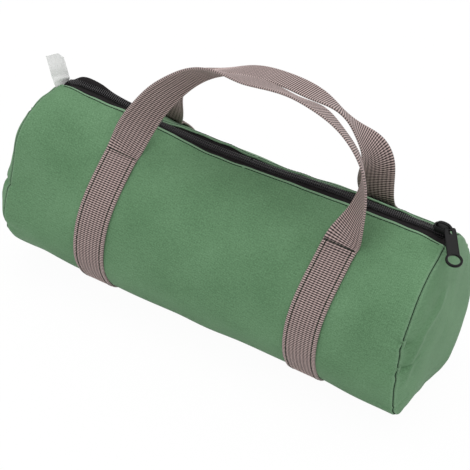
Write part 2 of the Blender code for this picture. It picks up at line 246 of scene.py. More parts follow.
def new_finish(name, roughness, **sockets):
    """A new material with its node tree and its Principled node."""
    made = bpy.data.materials.new(name)
    made.use_nodes = True
    shader = made.node_tree.nodes["Principled BSDF"]
    shader.inputs["Roughness"].default_value = roughness
    for socket, value in sockets.items():
        shader.inputs[socket.replace("_", " ")].default_value = value
    return made, made.node_tree, shader


def dress(tree, shader, colour, height, strength, depth):
    """Links a colour to a shader, and a bump that is so many millimetres deep."""
    surface = node(tree, "ShaderNodeBump", Height=height, Strength=strength, Distance=depth * MM)
    tree.links.new(colour, shader.inputs["Base Color"])
    tree.links.new(surface.outputs[0], shader.inputs["Normal"])


def threads(tree, coordinate, pitch, shift=0.0):
    """A wave from 0 to 1 with one crest to each thread."""
    turned = node(tree, MATH, operation="MULTIPLY", i0=coordinate, i1=2 * math.pi / pitch)
    if shift:
        turned = node(tree, MATH, operation="ADD", i0=turned, i1=shift)
    wave = node(tree, MATH, operation="SINE", i0=turned)
    return node(tree, MATH, operation="MULTIPLY_ADD", i0=wave, i1=0.5, i2=0.5)


# %% Canvas
# Dyed polyester canvas, a plain weave, which gives the eye a matt green face with a fine grain. Its
# threads are about 0.5 mm wide. The weave is drawn at 0.75 mm so that it shows, and the dye is uneven
# by a few per cent over some centimetres, as the photograph shows. Hems and seams are painted lighter,
# partly as rubbed cloth and partly as a painted highlight on their rolled edges.
CANVAS_PITCH = 0.75


def canvas(name, dark, light, rubbed_and_highlit):
    """A plain weave with thick and thin threads, cloudy dye, and a lighter tone at hems and seams that is
    partly rubbing and partly a painted highlight.
    """
    made, tree, shader = new_finish(
        name, 0.86, Sheen_Weight=0.08, Sheen_Roughness=0.45, Specular_IOR_Level=0.2,
    )
    uv = node(tree, "ShaderNodeUVMap", uv_map=CLOTH_UV)
    split = node(tree, "ShaderNodeSeparateXYZ", i0=uv)
    across = threads(tree, split.outputs[0], CANVAS_PITCH)
    along = threads(tree, split.outputs[1], CANVAS_PITCH)
    column = threads(tree, split.outputs[0], 2 * CANVAS_PITCH, math.pi / 4)
    column = node(tree, MATH, operation="SUBTRACT", i0=column, i1=0.5)
    row = threads(tree, split.outputs[1], 2 * CANVAS_PITCH, math.pi / 4)
    row = node(tree, MATH, operation="SUBTRACT", i0=row, i1=0.5)
    over = node(tree, MATH, operation="MULTIPLY", i0=column, i1=row)
    over = node(tree, MATH, operation="MULTIPLY_ADD", i0=over, i1=2.0, i2=0.5)
    crest = node(tree, MATH, operation="MAXIMUM", i0=across, i1=along)
    weave = node(tree, MATH, operation="MULTIPLY", i0=crest, i1=over)
    drawn = node(tree, "ShaderNodeMapping", Vector=uv, Scale=(0.35, 2.4, 1))
    slub = node(tree, NOISE, Vector=drawn, Scale=0.6, Detail=3, Roughness=0.5)
    cloud = node(tree, NOISE, Vector=uv, Scale=0.022, Detail=4, Roughness=0.55)
    grain = node(tree, NOISE, Vector=uv, Scale=0.9, Detail=2, Roughness=0.7)
    dye = node(tree, RAMP, i0=cloud, stops=[(0.32, dark), (0.7, light)])
    weave_shade = node(tree, RAMP, i0=weave, stops=[(0.1, "#b4b4b4"), (0.75, "#ffffff")])
    slub_shade = node(tree, RAMP, i0=slub, stops=[(0.3, "#a8a8a8"), (0.7, "#cfcfcf")])
    grain_shade = node(tree, RAMP, i0=grain, stops=[(0.3, "#a0a0a0"), (0.7, "#d6d6d6")])
    shaded = node(tree, MIX, data_type="RGBA", blend_type="MULTIPLY", i0=0.24, i6=dye, i7=weave_shade)
    shaded = node(tree, MIX, data_type="RGBA", blend_type="SOFT_LIGHT", i0=0.5, i6=shaded, i7=slub_shade)
    shaded = node(tree, MIX, data_type="RGBA", blend_type="SOFT_LIGHT", i0=0.8, i6=shaded, i7=grain_shade)
    # Rubbing and a painted highlight: hems and seams are mixed towards the lighter tone
    wear = node(tree, "ShaderNodeAttribute", attribute_name="wear")
    wear = node(tree, MATH, operation="MULTIPLY", i0=wear.outputs[2], i1=0.55)
    shaded = node(tree, MIX, data_type="RGBA", i0=wear, i6=shaded, i7=rubbed_and_highlit)
    height = node(tree, MATH, operation="MULTIPLY_ADD", i0=grain, i1=0.3, i2=weave)
    dress(tree, shader, shaded.outputs[2], height, 0.35, 0.12)
    return made


# The last colour is the rubbed tone, which also paints a highlight on hems and seams
CANVAS = canvas("polyester_canvas_green", "#5a7f5c", "#678d69", "#93b095")

# %% Webbing
# Polypropylene webbing, 25 mm wide, in a double-layer weave. The eye sees short light dashes of flat
# yarn in rows with dark gaps between them, drawn as painted light on the dashes and painted shade in the
# gaps. RIB is the real pitch of its lengthwise cords and PICK that of the rows of dashes.
RIB = 2.7
PICK = 1.5
WEBBING_WIDTH = 25.0


def webbing(name, gap, rib, lit):
    """Rows of dashes across lengthwise cords, with painted shade in their gaps, fine hair and a painted
    highlight along the selvedges.
    """
    made, tree, shader = new_finish(name, 0.62, Sheen_Weight=0.05, Specular_IOR_Level=0.3)
    uv = node(tree, "ShaderNodeUVMap", uv_map=CLOTH_UV)
    split = node(tree, "ShaderNodeSeparateXYZ", i0=uv)
    waves = []
    for axis, pitch in ((0, RIB), (0, 2 * RIB), (1, PICK)):
        turned = node(tree, MATH, operation="MULTIPLY", i0=split.outputs[axis], i1=2 * math.pi / pitch)
        waves.append(node(tree, MATH, operation="COSINE", i0=turned))
    cords, pairs, rows = waves
    strength = node(tree, MATH, operation="MULTIPLY_ADD", i0=pairs, i1=0.1, i2=0.36)
    rows = node(tree, MATH, operation="MULTIPLY", i0=rows, i1=strength)
    cords = node(tree, MATH, operation="MULTIPLY_ADD", i0=cords, i1=0.13, i2=0.5)
    brick = node(tree, MATH, operation="ADD", i0=cords, i1=rows)
    drawn = node(tree, "ShaderNodeMapping", Vector=uv, Scale=(1.2, 5.0, 1))
    hair = node(tree, NOISE, Vector=drawn, Scale=1.0, Detail=3, Roughness=0.6)
    cloud = node(tree, NOISE, Vector=uv, Scale=0.05, Detail=3, Roughness=0.5)
    # gap, rib and lit are the one mauve yarn in painted shade, at middle tone and in painted light
    yarn_in_light_and_shade = node(tree, RAMP, i0=brick, stops=[(0.18, gap), (0.5, rib), (0.82, lit)])
    hair_shade = node(tree, RAMP, i0=hair, stops=[(0.3, "#646464"), (0.7, "#9c9c9c")])
    cloud_shade = node(tree, RAMP, i0=cloud, stops=[(0.3, "#6e6e6e"), (0.7, "#929292")])
    shaded = node(tree, MIX, data_type="RGBA", blend_type="SOFT_LIGHT", i0=0.5, i6=yarn_in_light_and_shade, i7=hair_shade)
    shaded = node(tree, MIX, data_type="RGBA", blend_type="SOFT_LIGHT", i0=0.4, i6=shaded, i7=cloud_shade)
    # Painted highlight: the selvedges are mixed a little towards the lit tone, as their edges would catch
    # the light
    edge = node(tree, MATH, operation="ABSOLUTE", i0=split.outputs[0])
    edge = node(tree, MATH, operation="COMPARE", i0=edge, i1=WEBBING_WIDTH / 2, i2=1.1)
    edge = node(tree, MATH, operation="MULTIPLY", i0=edge, i1=0.12)
    shaded = node(tree, MIX, data_type="RGBA", i0=edge, i6=shaded, i7=lit)
    height = node(tree, MATH, operation="MULTIPLY_ADD", i0=hair, i1=0.5, i2=brick)
    dress(tree, shader, shaded.outputs[2], height, 0.5, 0.2)
    return made


# The three colours are the yarn in painted shade, at middle tone and in painted light
WEBBING = webbing("polypropylene_webbing_mauve", "#1f1818", "#8b7977", "#d2bfbb")

# %% Tape, binding and ribbon
# All three are woven polyester with diagonal ribs. The zip's tape is a matt black twill with ribs 0.6 mm
# apart, the binding a coarser black tape, and the tag a white satin ribbon with a slight gloss.
TAPE_TWILL = 0.6
BINDING_TWILL = 1.1
RIBBON_TWILL = 0.7


def twill(name, dark, light, pitch, roughness=0.82):
    """Diagonal ribs with a little lint."""
    made, tree, shader = new_finish(name, roughness, Specular_IOR_Level=0.15)
    uv = node(tree, "ShaderNodeUVMap", uv_map=CLOTH_UV)
    split = node(tree, "ShaderNodeSeparateXYZ", i0=uv)
    lean = node(tree, MATH, operation="MULTIPLY", i0=split.outputs[1], i1=0.8)
    lean = node(tree, MATH, operation="ADD", i0=split.outputs[0], i1=lean)
    rib = threads(tree, lean, pitch)
    lint = node(tree, NOISE, Vector=uv, Scale=1.3, Detail=3, Roughness=0.7)
    ribbed = node(tree, MATH, operation="MULTIPLY", i0=rib, i1=0.7)
    ribbed = node(tree, MATH, operation="MULTIPLY_ADD", i0=lint, i1=0.4, i2=ribbed)
    tone = node(tree, RAMP, i0=ribbed, stops=[(0.2, dark), (0.85, light)])
    dress(tree, shader, tone.outputs[0], rib, 0.4, 0.1)
    return made


TAPE = twill("polyester_twill_tape_black", "#100e0f", "#252223", TAPE_TWILL)
BINDING = twill("polyester_binding_black", "#191818", "#2f2c2b", BINDING_TWILL)
RIBBON = twill("satin_ribbon_white", "#ececec", "#fcfcfc", RIBBON_TWILL, 0.55)


# %% Coil, enamel and thread
def plain(name, colour, roughness, specks, speck_scale, **sockets):
    """A solid colour that varies a little, on object coordinates. The speck's scale is per metre."""
    made, tree, shader = new_finish(name, roughness, **sockets)
    place = node(tree, "ShaderNodeTexCoord")
    cloud = node(tree, NOISE, Vector=place.outputs[3], Scale=speck_scale, Detail=3, Roughness=0.6)
    grey = node(tree, RAMP, i0=cloud, stops=[(0.3, "#5a5a5a"), (0.75, "#a6a6a6")])
    shaded = node(tree, MIX, data_type="RGBA", blend_type="SOFT_LIGHT", i0=specks, i6=colour, i7=grey)
    rough = node(tree, MATH, operation="MULTIPLY_ADD", i0=cloud, i1=0.2, i2=roughness - 0.1)
    tree.links.new(shaded.outputs[2], shader.inputs["Base Color"])
    tree.links.new(rough.outputs[0], shader.inputs["Roughness"])
    return made


# Extruded nylon filament, smooth enough to glint along each turn.
COIL = plain("nylon_coil_black", "#1d191e", 0.3, 0.3, 1400, Specular_IOR_Level=0.6)
# Die-cast zinc under black enamel, which is a little orange-peeled and almost as dark as the tape.
ENAMEL = plain("zinc_black_enamel", "#0a0a0b", 0.34, 0.4, 700, Specular_IOR_Level=0.12)
# Spun polyester sewing thread, matt with fine lint, so that a row of stitches reads as a dark line.
# At the end seams the same thread also paints the shade in the seams' grooves
THREAD = plain("polyester_thread_green", "#1b3022", 0.8, 0.5, 2500, Specular_IOR_Level=0.15)
print("finishes", len(bpy.data.materials))


# %% [markdown]
# ## The barrel's shape
#
# The canvas is one sheet that wraps the barrel from one side of the zip round to the other, so its
# shape is drawn as a cross-section that changes along the length. In the middle the section is the
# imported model's, with the mouth sagging a few millimetres between its two held ends. At each end it
# follows the sewn rim, which is fuller at the shoulders. A point is named by x, its place along the
# bag, and by arc, its distance over the cloth from the front edge of the zip.

# %% Cross-sections
HALF = 152.0
FOLD = (-29.147, 111.69)
MIDDLE = [
    (-8.0, 122.3), (-18.0, 117.6), FOLD, (-42.0, 100.5), (-53.6, 87.0), (-61.3, 71.0), (-64.0, 54.0),
    (-62.2, 36.5), (-55.2, 21.8), (-44.9, 9.6), (-34.0, 3.9), (-18.0, 1.8), (0.0, 1.7),
]
# Rims as (how far the seam stands beyond x = 152, y, z), from the front of the zip round to its rear
RIGHT_RIM = [
    (-3.0, -8.0, 124.5), (-2.2, -18.0, 121.3), (-1.8, -29.5, 116.8), (-1.2, -41.0, 108.5),
    (-0.6, -52.0, 95.5), (-0.5, -59.8, 76.0), (0.3, -60.8, 54.0), (0.5, -59.5, 37.5),
    (0.5, -54.0, 20.5), (0.4, -44.6, 7.2), (0.4, -33.0, 6.2), (0.5, -18.0, 6.6), (0.8, 0.0, 5.0),
    (0.8, 18.0, 3.2), (0.5, 33.0, 3.6), (0.0, 46.0, 8.0), (-0.5, 56.0, 19.5), (-1.0, 61.5, 37.0),
    (-1.6, 62.0, 54.0), (-2.5, 57.0, 72.5), (-3.4, 47.5, 88.5), (-4.0, 37.0, 102.0),
    (-4.0, 27.5, 112.5), (-3.6, 17.5, 119.5), (-3.4, 8.0, 124.2),
]
LEFT_RIM = [
    (-0.5, -8.0, 127.5), (0.0, -20.0, 126.6), (0.5, -33.5, 124.6), (1.0, -49.8, 115.2),
    (1.0, -58.4, 98.0), (1.2, -60.5, 79.0), (2.5, -65.0, 59.5), (2.5, -66.0, 42.0),
    (1.5, -58.5, 26.5), (0.5, -47.0, 13.5), (0.0, -35.5, 4.6), (0.0, -19.0, 1.9), (0.0, 0.0, 1.9),
    (0.0, 19.0, 1.9), (0.0, 34.0, 4.4), (0.0, 46.0, 12.5), (0.0, 57.0, 25.5), (0.0, 63.5, 41.5),
    (0.0, 63.5, 59.0), (0.0, 60.0, 77.0), (0.0, 53.0, 92.0), (0.0, 42.0, 104.0),
    (0.0, 29.0, 111.5), (-0.5, 18.0, 117.0), (-1.0, 8.0, 123.0),
]


def mirrored(half):
    return half + [(*row[:-2], -row[-2], row[-1]) for row in half[-2::-1]]


SECTION = np.array(mirrored(MIDDLE))
RIMS = {1: np.array(RIGHT_RIM), -1: np.array(LEFT_RIM)}
ARCS = along_path(SECTION)
ARC_END = ARCS[-1]
ARC_FOLD = ARCS[2]
KNOTS = len(ARCS)
# Height of the two hemmed edges beside the zip along the bag, as the photograph shows them
HEM_X = [-152, -147, -124, -97, -69, -45, -23, 0, 16, 45, 77, 110, 140, 152]
HEM_Z = {
    0: [127.8, 128.6, 127.8, 127.6, 125.5, 123.0, 121.4, 122.4, 123.4, 124.6, 125.8, 126.4, 125.9, 124.4],
    -1: [123.0, 122.4, 120.4, 119.8, 121.4, 123.2, 123.4, 122.2, 122.4, 124.0, 126.0, 126.4, 125.4, 124.2],
}


print("canvas from hem to hem", round(ARC_END, 1), "with its folds", round(ARC_FOLD, 1), "from the hems")


# %% Smooth outer face
def section_points(x, arc):
    """Points of the barrel's smooth outer face."""
    x, arc = (np.asarray(values, float).ravel() for values in (x, arc))
    shape = np.zeros((len(x), KNOTS, 3))
    shape[:, :, 0] = x[:, None]
    shape[:, :, 1:] = SECTION
    for side, rim in RIMS.items():
        share = np.where(x * side > 0, smooth(x * side, 92, 150), 0)[:, None]
        shape[:, :, 0] += side * rim[:, 0] * share
        shape[:, :, 1:] += (rim[:, 1:] - shape[:, :, 1:]) * share[:, :, None]
    for knot, heights in HEM_Z.items():
        rise = spline_rows(HEM_X, x) @ np.array(heights) - shape[:, knot, 2]
        shape[:, knot, 2] += rise
        shape[:, 1 if knot == 0 else -2, 2] += 0.45 * rise
    return np.einsum("nk,nkc->nc", spline_rows(ARCS, arc), shape)


def facing(x, arc):
    """Points of the smooth outer face with their outward directions."""
    step = 0.4
    x, arc = (np.asarray(values, float).ravel() for values in (x, arc))
    along = section_points(x + step, arc) - section_points(x - step, arc)
    low, high = (np.clip(arc + shift, 0, ARC_END) for shift in (-step, step))
    around = section_points(x, high) - section_points(x, low)
    return section_points(x, arc), unit(np.cross(around, along))


# %% Slack, puckers and tucks
# Tucks in the end seams, as (side, arc, depth)
TUCKS = [
    (1, 75.0, 2.8), (1, 91.0, 2.6), (1, 128.0, 0.9), (-1, 29.0, 1.8), (-1, 84.0, 1.9), (-1, 118.0, 0.9),
    (1, ARC_END - 48.0, 1.5), (1, ARC_END - 96.0, 1.2), (-1, ARC_END - 40.0, 1.3),
    (-1, ARC_END - 90.0, 1.2),
]
# The cloth dips under each strap. The rear shoulder sinks behind the gathered left end of the zip, and
# sags along the middle of the bag.
STRAP_LINE, STRAP_DIP = 84.0, 0.55
HOLLOW = 3.2
SAG = 3.1


def relief(x, arc):
    """Small heights of the cloth above the smooth face: slack, puckers at the seams, and tucks."""
    x, arc = (np.asarray(values, float).ravel() for values in (x, arc))
    height = 0.45 * np.sin(x / 31 + 1.4 * np.sin(arc / 43)) * np.sin(arc / 37 + 0.8)
    height += 0.3 * np.sin(x / 14 + arc / 23 + 1.1 * np.sin(arc / 17))
    height += 0.22 * np.sin(x / 9.0 - arc / 12.0 + 0.7 * np.sin(x / 21))
    near_hem = np.minimum(arc, ARC_END - arc)
    height *= smooth(near_hem, 2, 26)
    ripple = np.sin(x / 5.2 + 1.6 * np.sin(x / 19)) + 0.6 * np.sin(x / 3.1 + 2)
    height += 0.28 * ripple * np.exp(-near_hem / 7)
    to_rim = HALF - np.abs(x)
    pucker = np.sin(arc / 3.4 + 1.9 * np.sin(arc / 15)) + 0.7 * np.sin(arc / 6.3 + np.sign(x))
    height += 0.3 * pucker * np.exp(-to_rim / 7)
    for side, place, depth in TUCKS:
        run = np.exp(-to_rim / 8) * (x * side > 0)
        spread = 1.5 + 0.14 * to_rim
        height -= depth * run * bump(arc, place, spread)
        height += 0.55 * depth * run * bump(arc, place + 1.9 * spread, 1.4 * spread)
    height -= STRAP_DIP * bump(np.abs(x), STRAP_LINE, 17) * smooth(near_hem, 24, 60)
    height *= 1 - bump(near_hem, ARC_FOLD, 8)
    height -= HOLLOW * bump(x, -118, 20) * bump(arc, ARC_END - 30, 20)
    height -= SAG * smooth(x, -100, -66) * (1 - smooth(x, 26, 60)) * bump(arc, ARC_END - ARC_FOLD, 15)
    return height


print("tucks", len(TUCKS))

# %% Finished outer face
# The cloth rolls over into the end seam with this radius
RIM_ROLL = 1.3


def rim_depth(x):
    """How far the cloth turns in towards the end seam."""
    left = np.clip(HALF - np.abs(np.asarray(x, float).ravel()), 0, RIM_ROLL)
    return RIM_ROLL - np.sqrt(np.maximum(RIM_ROLL**2 - (RIM_ROLL - left) ** 2, 0))


def cloth(x, arc, above=0.0):
    """Points of the finished canvas's outer face, raised by a height."""
    points, out = facing(x, arc)
    height = relief(x, arc) - rim_depth(x) + above
    return points + out * height[:, None]


def lay(xs, arcs, above=0.0):
    """A grid of points on the canvas, with the x and arc of each."""
    places = np.stack(np.meshgrid(xs, arcs, indexing="ij"), axis=-1)
    return cloth(places[..., 0], places[..., 1], above).reshape(len(xs), len(arcs), 3), places


def grid_normals(grid):
    """Outward directions over a grid of points, from its own slopes."""
    return unit(np.cross(np.gradient(grid, axis=1), np.gradient(grid, axis=0)))


print("top of the canvas at mid-length", np.round(cloth(0.0, 0.0), 1))


# %% [markdown]
# ## Canvas panels
#
# The panel below the two fold lines stays with the barrel. The canvas between a fold line and the zip
# is the mouth's lip. When the mouth opens the lips bow outwards as a lens, because their ends are sewn
# fast. Each lip is therefore two pieces that meet at mid-length.

# %% Canvas shells
THICKNESS = 1.4
EDGE_STATIONS = HALF - np.array([0.0, 0.15, 0.4, 0.8, 1.3, 2.2, 3.4])


def stations(start, end, step):
    """Even places from start to end, about a step apart."""
    return np.linspace(start, end, max(2, int(round(abs(end - start) / step)) + 1))


def add_wear(made, values):
    """Tells the canvas where it is rubbed and where a highlight is painted, from 0 to 1 at each point."""
    layer = made.data.attributes.new("wear", "FLOAT", "POINT")
    layer.data.foreach_set("value", np.asarray(values, np.float32).ravel())


def panel_piece(name, xs, arcs, round_sides=()):
    """A canvas shell over a range of x and arc, with rubbing and a painted highlight at its hem and its end
    seam.
    """
    outer, uv = lay(xs, arcs)
    inner = outer - grid_normals(outer) * THICKNESS
    points, faces, coords = slab(outer, inner, uv, round_sides)
    made = piece(name, points, faces, CANVAS, coords)
    near_hem = np.minimum(coords[:, 1], ARC_END - coords[:, 1])
    near_rim = HALF - np.abs(coords[:, 0])
    # Rubbing and a painted highlight along the hem and the end seam
    wear = 0.65 * (1 - smooth(near_hem, 0.6, 1.2)) + 0.3 * (1 - smooth(near_rim, 0.6, 2.2))
    add_wear(made, wear)
    return made


# %% Main panel
inner_xs = stations(-148.0, 148.0, 1.7)
whole_length = np.concatenate([-EDGE_STATIONS, inner_xs, EDGE_STATIONS[::-1]])
panel = panel_piece("canvas_body", whole_length, stations(ARC_FOLD, ARC_END - ARC_FOLD, 1.9))
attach(panel, "barrel")
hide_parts("main_panel")
print("panel faces", len(panel.data.polygons))

# %% Lips
HEM_ARCS = np.array([0.0, 0.3, 0.6, 0.9, 1.2, 1.6, 2.0, 2.6, 3.6])
half_length = np.concatenate([stations(0.0, 148.0, 1.6), EDGE_STATIONS[::-1]])
lip_arcs = np.concatenate([HEM_ARCS, stations(4.8, ARC_FOLD, 1.5)])
ENDS = {"left": -1, "right": 1}
SIDES = {"front": -1, "rear": 1}


def bend_with_mouth(made):
    """Bakes the placement of a piece of one half of the mouth into its mesh."""
    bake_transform(made)


for side_name, side in SIDES.items():
    for end_name, end in ENDS.items():
        arcs = lip_arcs if side < 0 else ARC_END - lip_arcs[::-1]
        xs = half_length if end > 0 else -half_length[::-1]
        round_sides = ("low",) if side < 0 else ("high",)
        lip = panel_piece(f"{side_name}_lip_{end_name}_half", xs, arcs, round_sides)
        bend_with_mouth(lip)
        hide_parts(f"{side_name}_lip_{end_name}")
        if end > 0:
            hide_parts(f"{side_name}_lip_middle")
print("lip faces", len(lip.data.polygons))

# %% [markdown]
# ## End panels
#
# Each end is a canvas disc sewn round its rim. The cloth puffs out beside the seam and carries soft
# creases that run down from the zip, so the disc is drawn in rings from the seam to its middle.

# %% End panels
# Shares of the way from the seam to the middle, close together where the cloth turns
RINGS = np.array([0, 0.004, 0.01, 0.018, 0.03, 0.045, 0.065, 0.09, *np.linspace(0.12, 0.93, 30), 0.97, 1.0])
MIDDLE_HEIGHT = 66.0
# One soft ridge in each panel as points (y, z), and a fuller place as (y, z, radius, height)
RIDGES = {
    1: [(-6, 100), (-22, 87), (-38, 79), (-50, 64), (-56, 44), (-57, 28)],
    -1: [(30, 96), (36, 72), (32, 44), (20, 20)],
}
SWELLS = {1: (24, 14, 13, 1.8), -1: (-56, 66, 20, 4.2)}
BULGE = {1: 8.0, -1: 8.2}
RIDGE_HEIGHT, RIDGE_WIDTH = 2.0, 4.6


def distance_to_line(y, z, line):
    """Distance from points to a bent line, and the share of its length where each is nearest."""
    line = np.array(line, float)
    lengths = along_path(line)
    best = np.full(y.shape, 1e9)
    share = np.zeros(y.shape)
    for start, end, run in zip(line, line[1:], lengths):
        step = end - start
        t = np.clip(((y - start[0]) * step[0] + (z - start[1]) * step[1]) / (step @ step), 0, 1)
        away = np.hypot(y - start[0] - t * step[0], z - start[1] - t * step[1])
        share = np.where(away < best, (run + t * np.linalg.norm(step)) / lengths[-1], share)
        best = np.minimum(best, away)
    return best, share


def end_heights(side, ring, arc, y, z):
    """How far an end's cloth stands out, from the ring's share, the seam's arc and the place."""
    height = BULGE[side] * (1 - (1 - ring) ** 2.7) ** 0.54 * np.ones(arc.shape)
    height = height + 1.1 * bump(z, 38, 30) * smooth(ring, 0, 0.35)
    swell_y, swell_z, radius, swell = SWELLS[side]
    height += swell * np.exp(-((y - swell_y) ** 2 + (z - swell_z) ** 2) / radius**2) * smooth(ring, 0, 0.07)
    away, share = distance_to_line(y, z, RIDGES[side])
    fade = smooth(share, 0, 0.2) * (1 - smooth(share, 0.75, 1.0)) * smooth(ring, 0.02, 0.15)
    height += fade * RIDGE_HEIGHT * bump(away, 0, RIDGE_WIDTH)
    pucker = np.sin(arc / 3.1 + 1.7 * np.sin(arc / 12)) + 0.6 * np.sin(arc / 5.3)
    height += 0.32 * pucker * np.exp(-ring / 0.09) * smooth(ring, 0, 0.03)
    for tuck_side, place, depth in TUCKS:
        if tuck_side == side:
            tuck = 0.8 * depth * np.exp(-ring / 0.1) * bump(arc, place, 3.0 + 12 * ring)
            height -= tuck * smooth(ring, 0, 0.03)
    angle = np.linspace(0, 2 * math.pi, arc.shape[1], endpoint=False)[None]
    return height + 0.35 * np.sin(3 * angle + 5 * ring) * smooth(ring, 0.05, 0.4) * (1 - ring)


def end_panel(name, side):
    """A canvas disc in rings, from the end seam to a fan of faces round its middle."""
    rim_arcs = stations(0, ARC_END, 1.6)
    rim = cloth(np.full(len(rim_arcs), side * HALF), rim_arcs)
    gap = np.linspace(rim[-1], rim[0], 9)[1:-1]
    rim = np.concatenate([rim, gap])
    arc = np.concatenate([rim_arcs, np.full(len(gap), ARC_END)])
    ring = RINGS[:, None]
    centre = np.array([rim[:, 0].mean(), 0.0, MIDDLE_HEIGHT])
    flat = rim[None] + (centre - rim[None]) * ring[..., None]
    roll = RIM_ROLL * np.exp(-((ring - 0.02) / 0.03) ** 2)
    outer = flat.copy()
    outer[..., 0] += side * end_heights(side, ring, arc[None], flat[..., 1], flat[..., 2])
    outer += unit(rim - centre)[None] * (roll * smooth(ring, 0, 0.012) * 0.9)[..., None]
    closed = np.concatenate([outer, outer[:, :1]], axis=1)
    facing_out = grid_normals(closed)
    if facing_out[len(RINGS) // 2, :, 0].mean() * side < 0:
        facing_out = -facing_out
    facing_out[:, -1] = facing_out[:, 0]
    facing_out[-1] = (side, 0, 0)
    inner = closed - facing_out * THICKNESS
    uv = closed[..., 1:]
    rings, columns = closed.shape[0], closed.shape[1] - 1
    ids = wrapped(rings, columns)
    faces = list(quads(ids[:-1]))
    tip = ids[-2]
    centre_id = 2 * rings * columns
    faces += [[tip[k], tip[k + 1], centre_id] for k in range(columns)]
    low = ids + rings * columns
    faces += list(quads(low[:-1])[:, ::-1])
    faces += [[low[-2][k + 1], low[-2][k], centre_id + 1] for k in range(columns)]
    faces += list(quads(np.stack([low[0], ids[0]])))
    points = np.concatenate([
        outer.reshape(-1, 3), inner[:, :-1].reshape(-1, 3),
        outer[-1].mean(axis=0)[None], inner[-1].mean(axis=0)[None],
    ])
    coords = np.concatenate([uv[:, :-1].reshape(-1, 2)] * 2 + [uv[-1, :1], uv[-1, :1]])
    used = np.setdiff1d(np.arange(len(points)), np.concatenate([ids[-1], low[-1]]))
    renumber = np.full(len(points), -1)
    renumber[used] = np.arange(len(used))
    made = piece(name, points[used], [renumber[list(face)] for face in faces], CANVAS, coords[used])
    ring_of = np.concatenate([np.repeat(RINGS, columns)] * 2 + [[1.0, 1.0]])[used]
    # Rubbing and a painted highlight beside the end seam
    add_wear(made, 0.3 * (1 - smooth(ring_of, 0.01, 0.05)))
    return made


for end_name, end in ENDS.items():
    made = end_panel(f"{end_name}_end_canvas", end)
    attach(made, "barrel")
    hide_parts(f"{end_name}_end_panel")
print("end panel faces", len(made.data.polygons))

# %% [markdown]
# ## Seam bindings
#
# Inside each end a black tape is folded over the seam allowance. It shows only when the mouth is open,
# so a strip that lies on the inside of the canvas, a little wavy, is enough.

# %% Bindings
BINDING_WIDTH = 10.0
BINDING_INSET = 2.4
BINDING_CLEAR = 0.4
BINDING_THICKNESS = 1.0


def binding(name, side):
    """A tape that lies inside the canvas beside an end seam, a little wavy."""
    arcs = stations(9.0, ARC_END - 9.0, 2.4)
    across = np.linspace(0, 1, 7)
    xs = side * (HALF - BINDING_INSET - BINDING_WIDTH * across)
    grid, uv = lay(xs, arcs)
    inward = -facing(uv[..., 0], uv[..., 1])[1].reshape(grid.shape)
    lift = 0.35 * np.sin(math.pi * across)[:, None, None] + 0.12 * np.sin(arcs / 2.3)[None, :, None]
    outer = grid + inward * (THICKNESS + BINDING_CLEAR + BINDING_THICKNESS + lift)
    inner = grid + inward * (THICKNESS + BINDING_CLEAR)
    points, faces, coords = slab(outer, inner, uv, ("start", "end"))
    return piece(name, points, faces, BINDING, coords)


for end_name, end in ENDS.items():
    made = binding(f"{end_name}_binding_tape", end)
    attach(made, "barrel")
    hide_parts(f"{end_name}_seam_binding")
print("binding faces", len(made.data.polygons))

# %% [markdown]
# ## Zip
#
# A number 5 coil zip: each side is a woven tape with a spiral of nylon filament sewn along its edge.
# The chain keeps beside the two hems, so it sags along the middle of the bag, and near the left end it
# humps up where the cloth is gathered. Tape and coil are sewn to the lip beside them. Each tape is drawn
# from five lines along the bag, so that it meets both the coil and the underside of the hem.

# %% Chain line
CHAIN_X = [
    -152, -148, -144, -140, -133, -127, -118, -105, -96, -84, -69,
    -45, -23, -4, 16, 33, 55, 75, 110, 144, 152,
]
CHAIN_Z = np.array([
    126.2, 127.2, 128.6, 129.5, 129.8, 129.8, 129.3, 128.0, 127.2, 125.4, 122.9,
    121.8, 121.6, 122.3, 122.9, 124.2, 126.0, 126.8, 127.2, 127.8, 126.8,
])
# Height of the fold that the rear tape makes beside the chain where the cloth is gathered
GATHER_X = [-152, -148, -144, -140, -133, -127, -118, -105, -96, -84, -70]
GATHER_Z = np.array([0.0, 0.8, 2.1, 2.8, 2.9, 2.2, 0.8, 0.1, 0.0, 0.0, 0.0])
# Distances across the tape, from beside the coil to its edge under the canvas
TAPE_KNOTS = np.array([0, 3.4, 7.0, 10.2, 13.2])
TAPE_UNDER = (0.8, 4.0, 7.0)
TAPE_THICKNESS = 0.7


def chain_height(x):
    """Height of the middle of the coil."""
    return spline_rows(CHAIN_X, x) @ CHAIN_Z


def tape_grid(xs, side):
    """The outer face of one tape, from beside the coil to its edge under the canvas."""
    edge_arc = 0.0 if side < 0 else ARC_END
    inward = 1 if side < 0 else -1
    count = len(xs)
    beside = np.stack([xs, np.full(count, side * 0.9), chain_height(xs) - 1.1], axis=1)
    under, deep, deeper = (
        cloth(xs, np.full(count, edge_arc + inward * below), -THICKNESS - 0.25) for below in TAPE_UNDER
    )
    crown = (beside + under) / 2
    crown[:, 2] += 0.5
    if side > 0:
        gather = spline_rows(GATHER_X, xs) @ GATHER_Z * (xs < GATHER_X[-1])
        crown[:, 1] += 1.4 * smooth(gather, 0, 2)
        crown[:, 2] += (beside - under)[:, 2] / 2 * smooth(-xs, 66, 86) + gather
    stops = np.stack([beside, crown, under, deep, deeper])
    places = np.linspace(0, TAPE_KNOTS[-1], 15)
    grid = np.einsum("pk,knc->npc", spline_rows(TAPE_KNOTS, places), stops)
    return grid, places


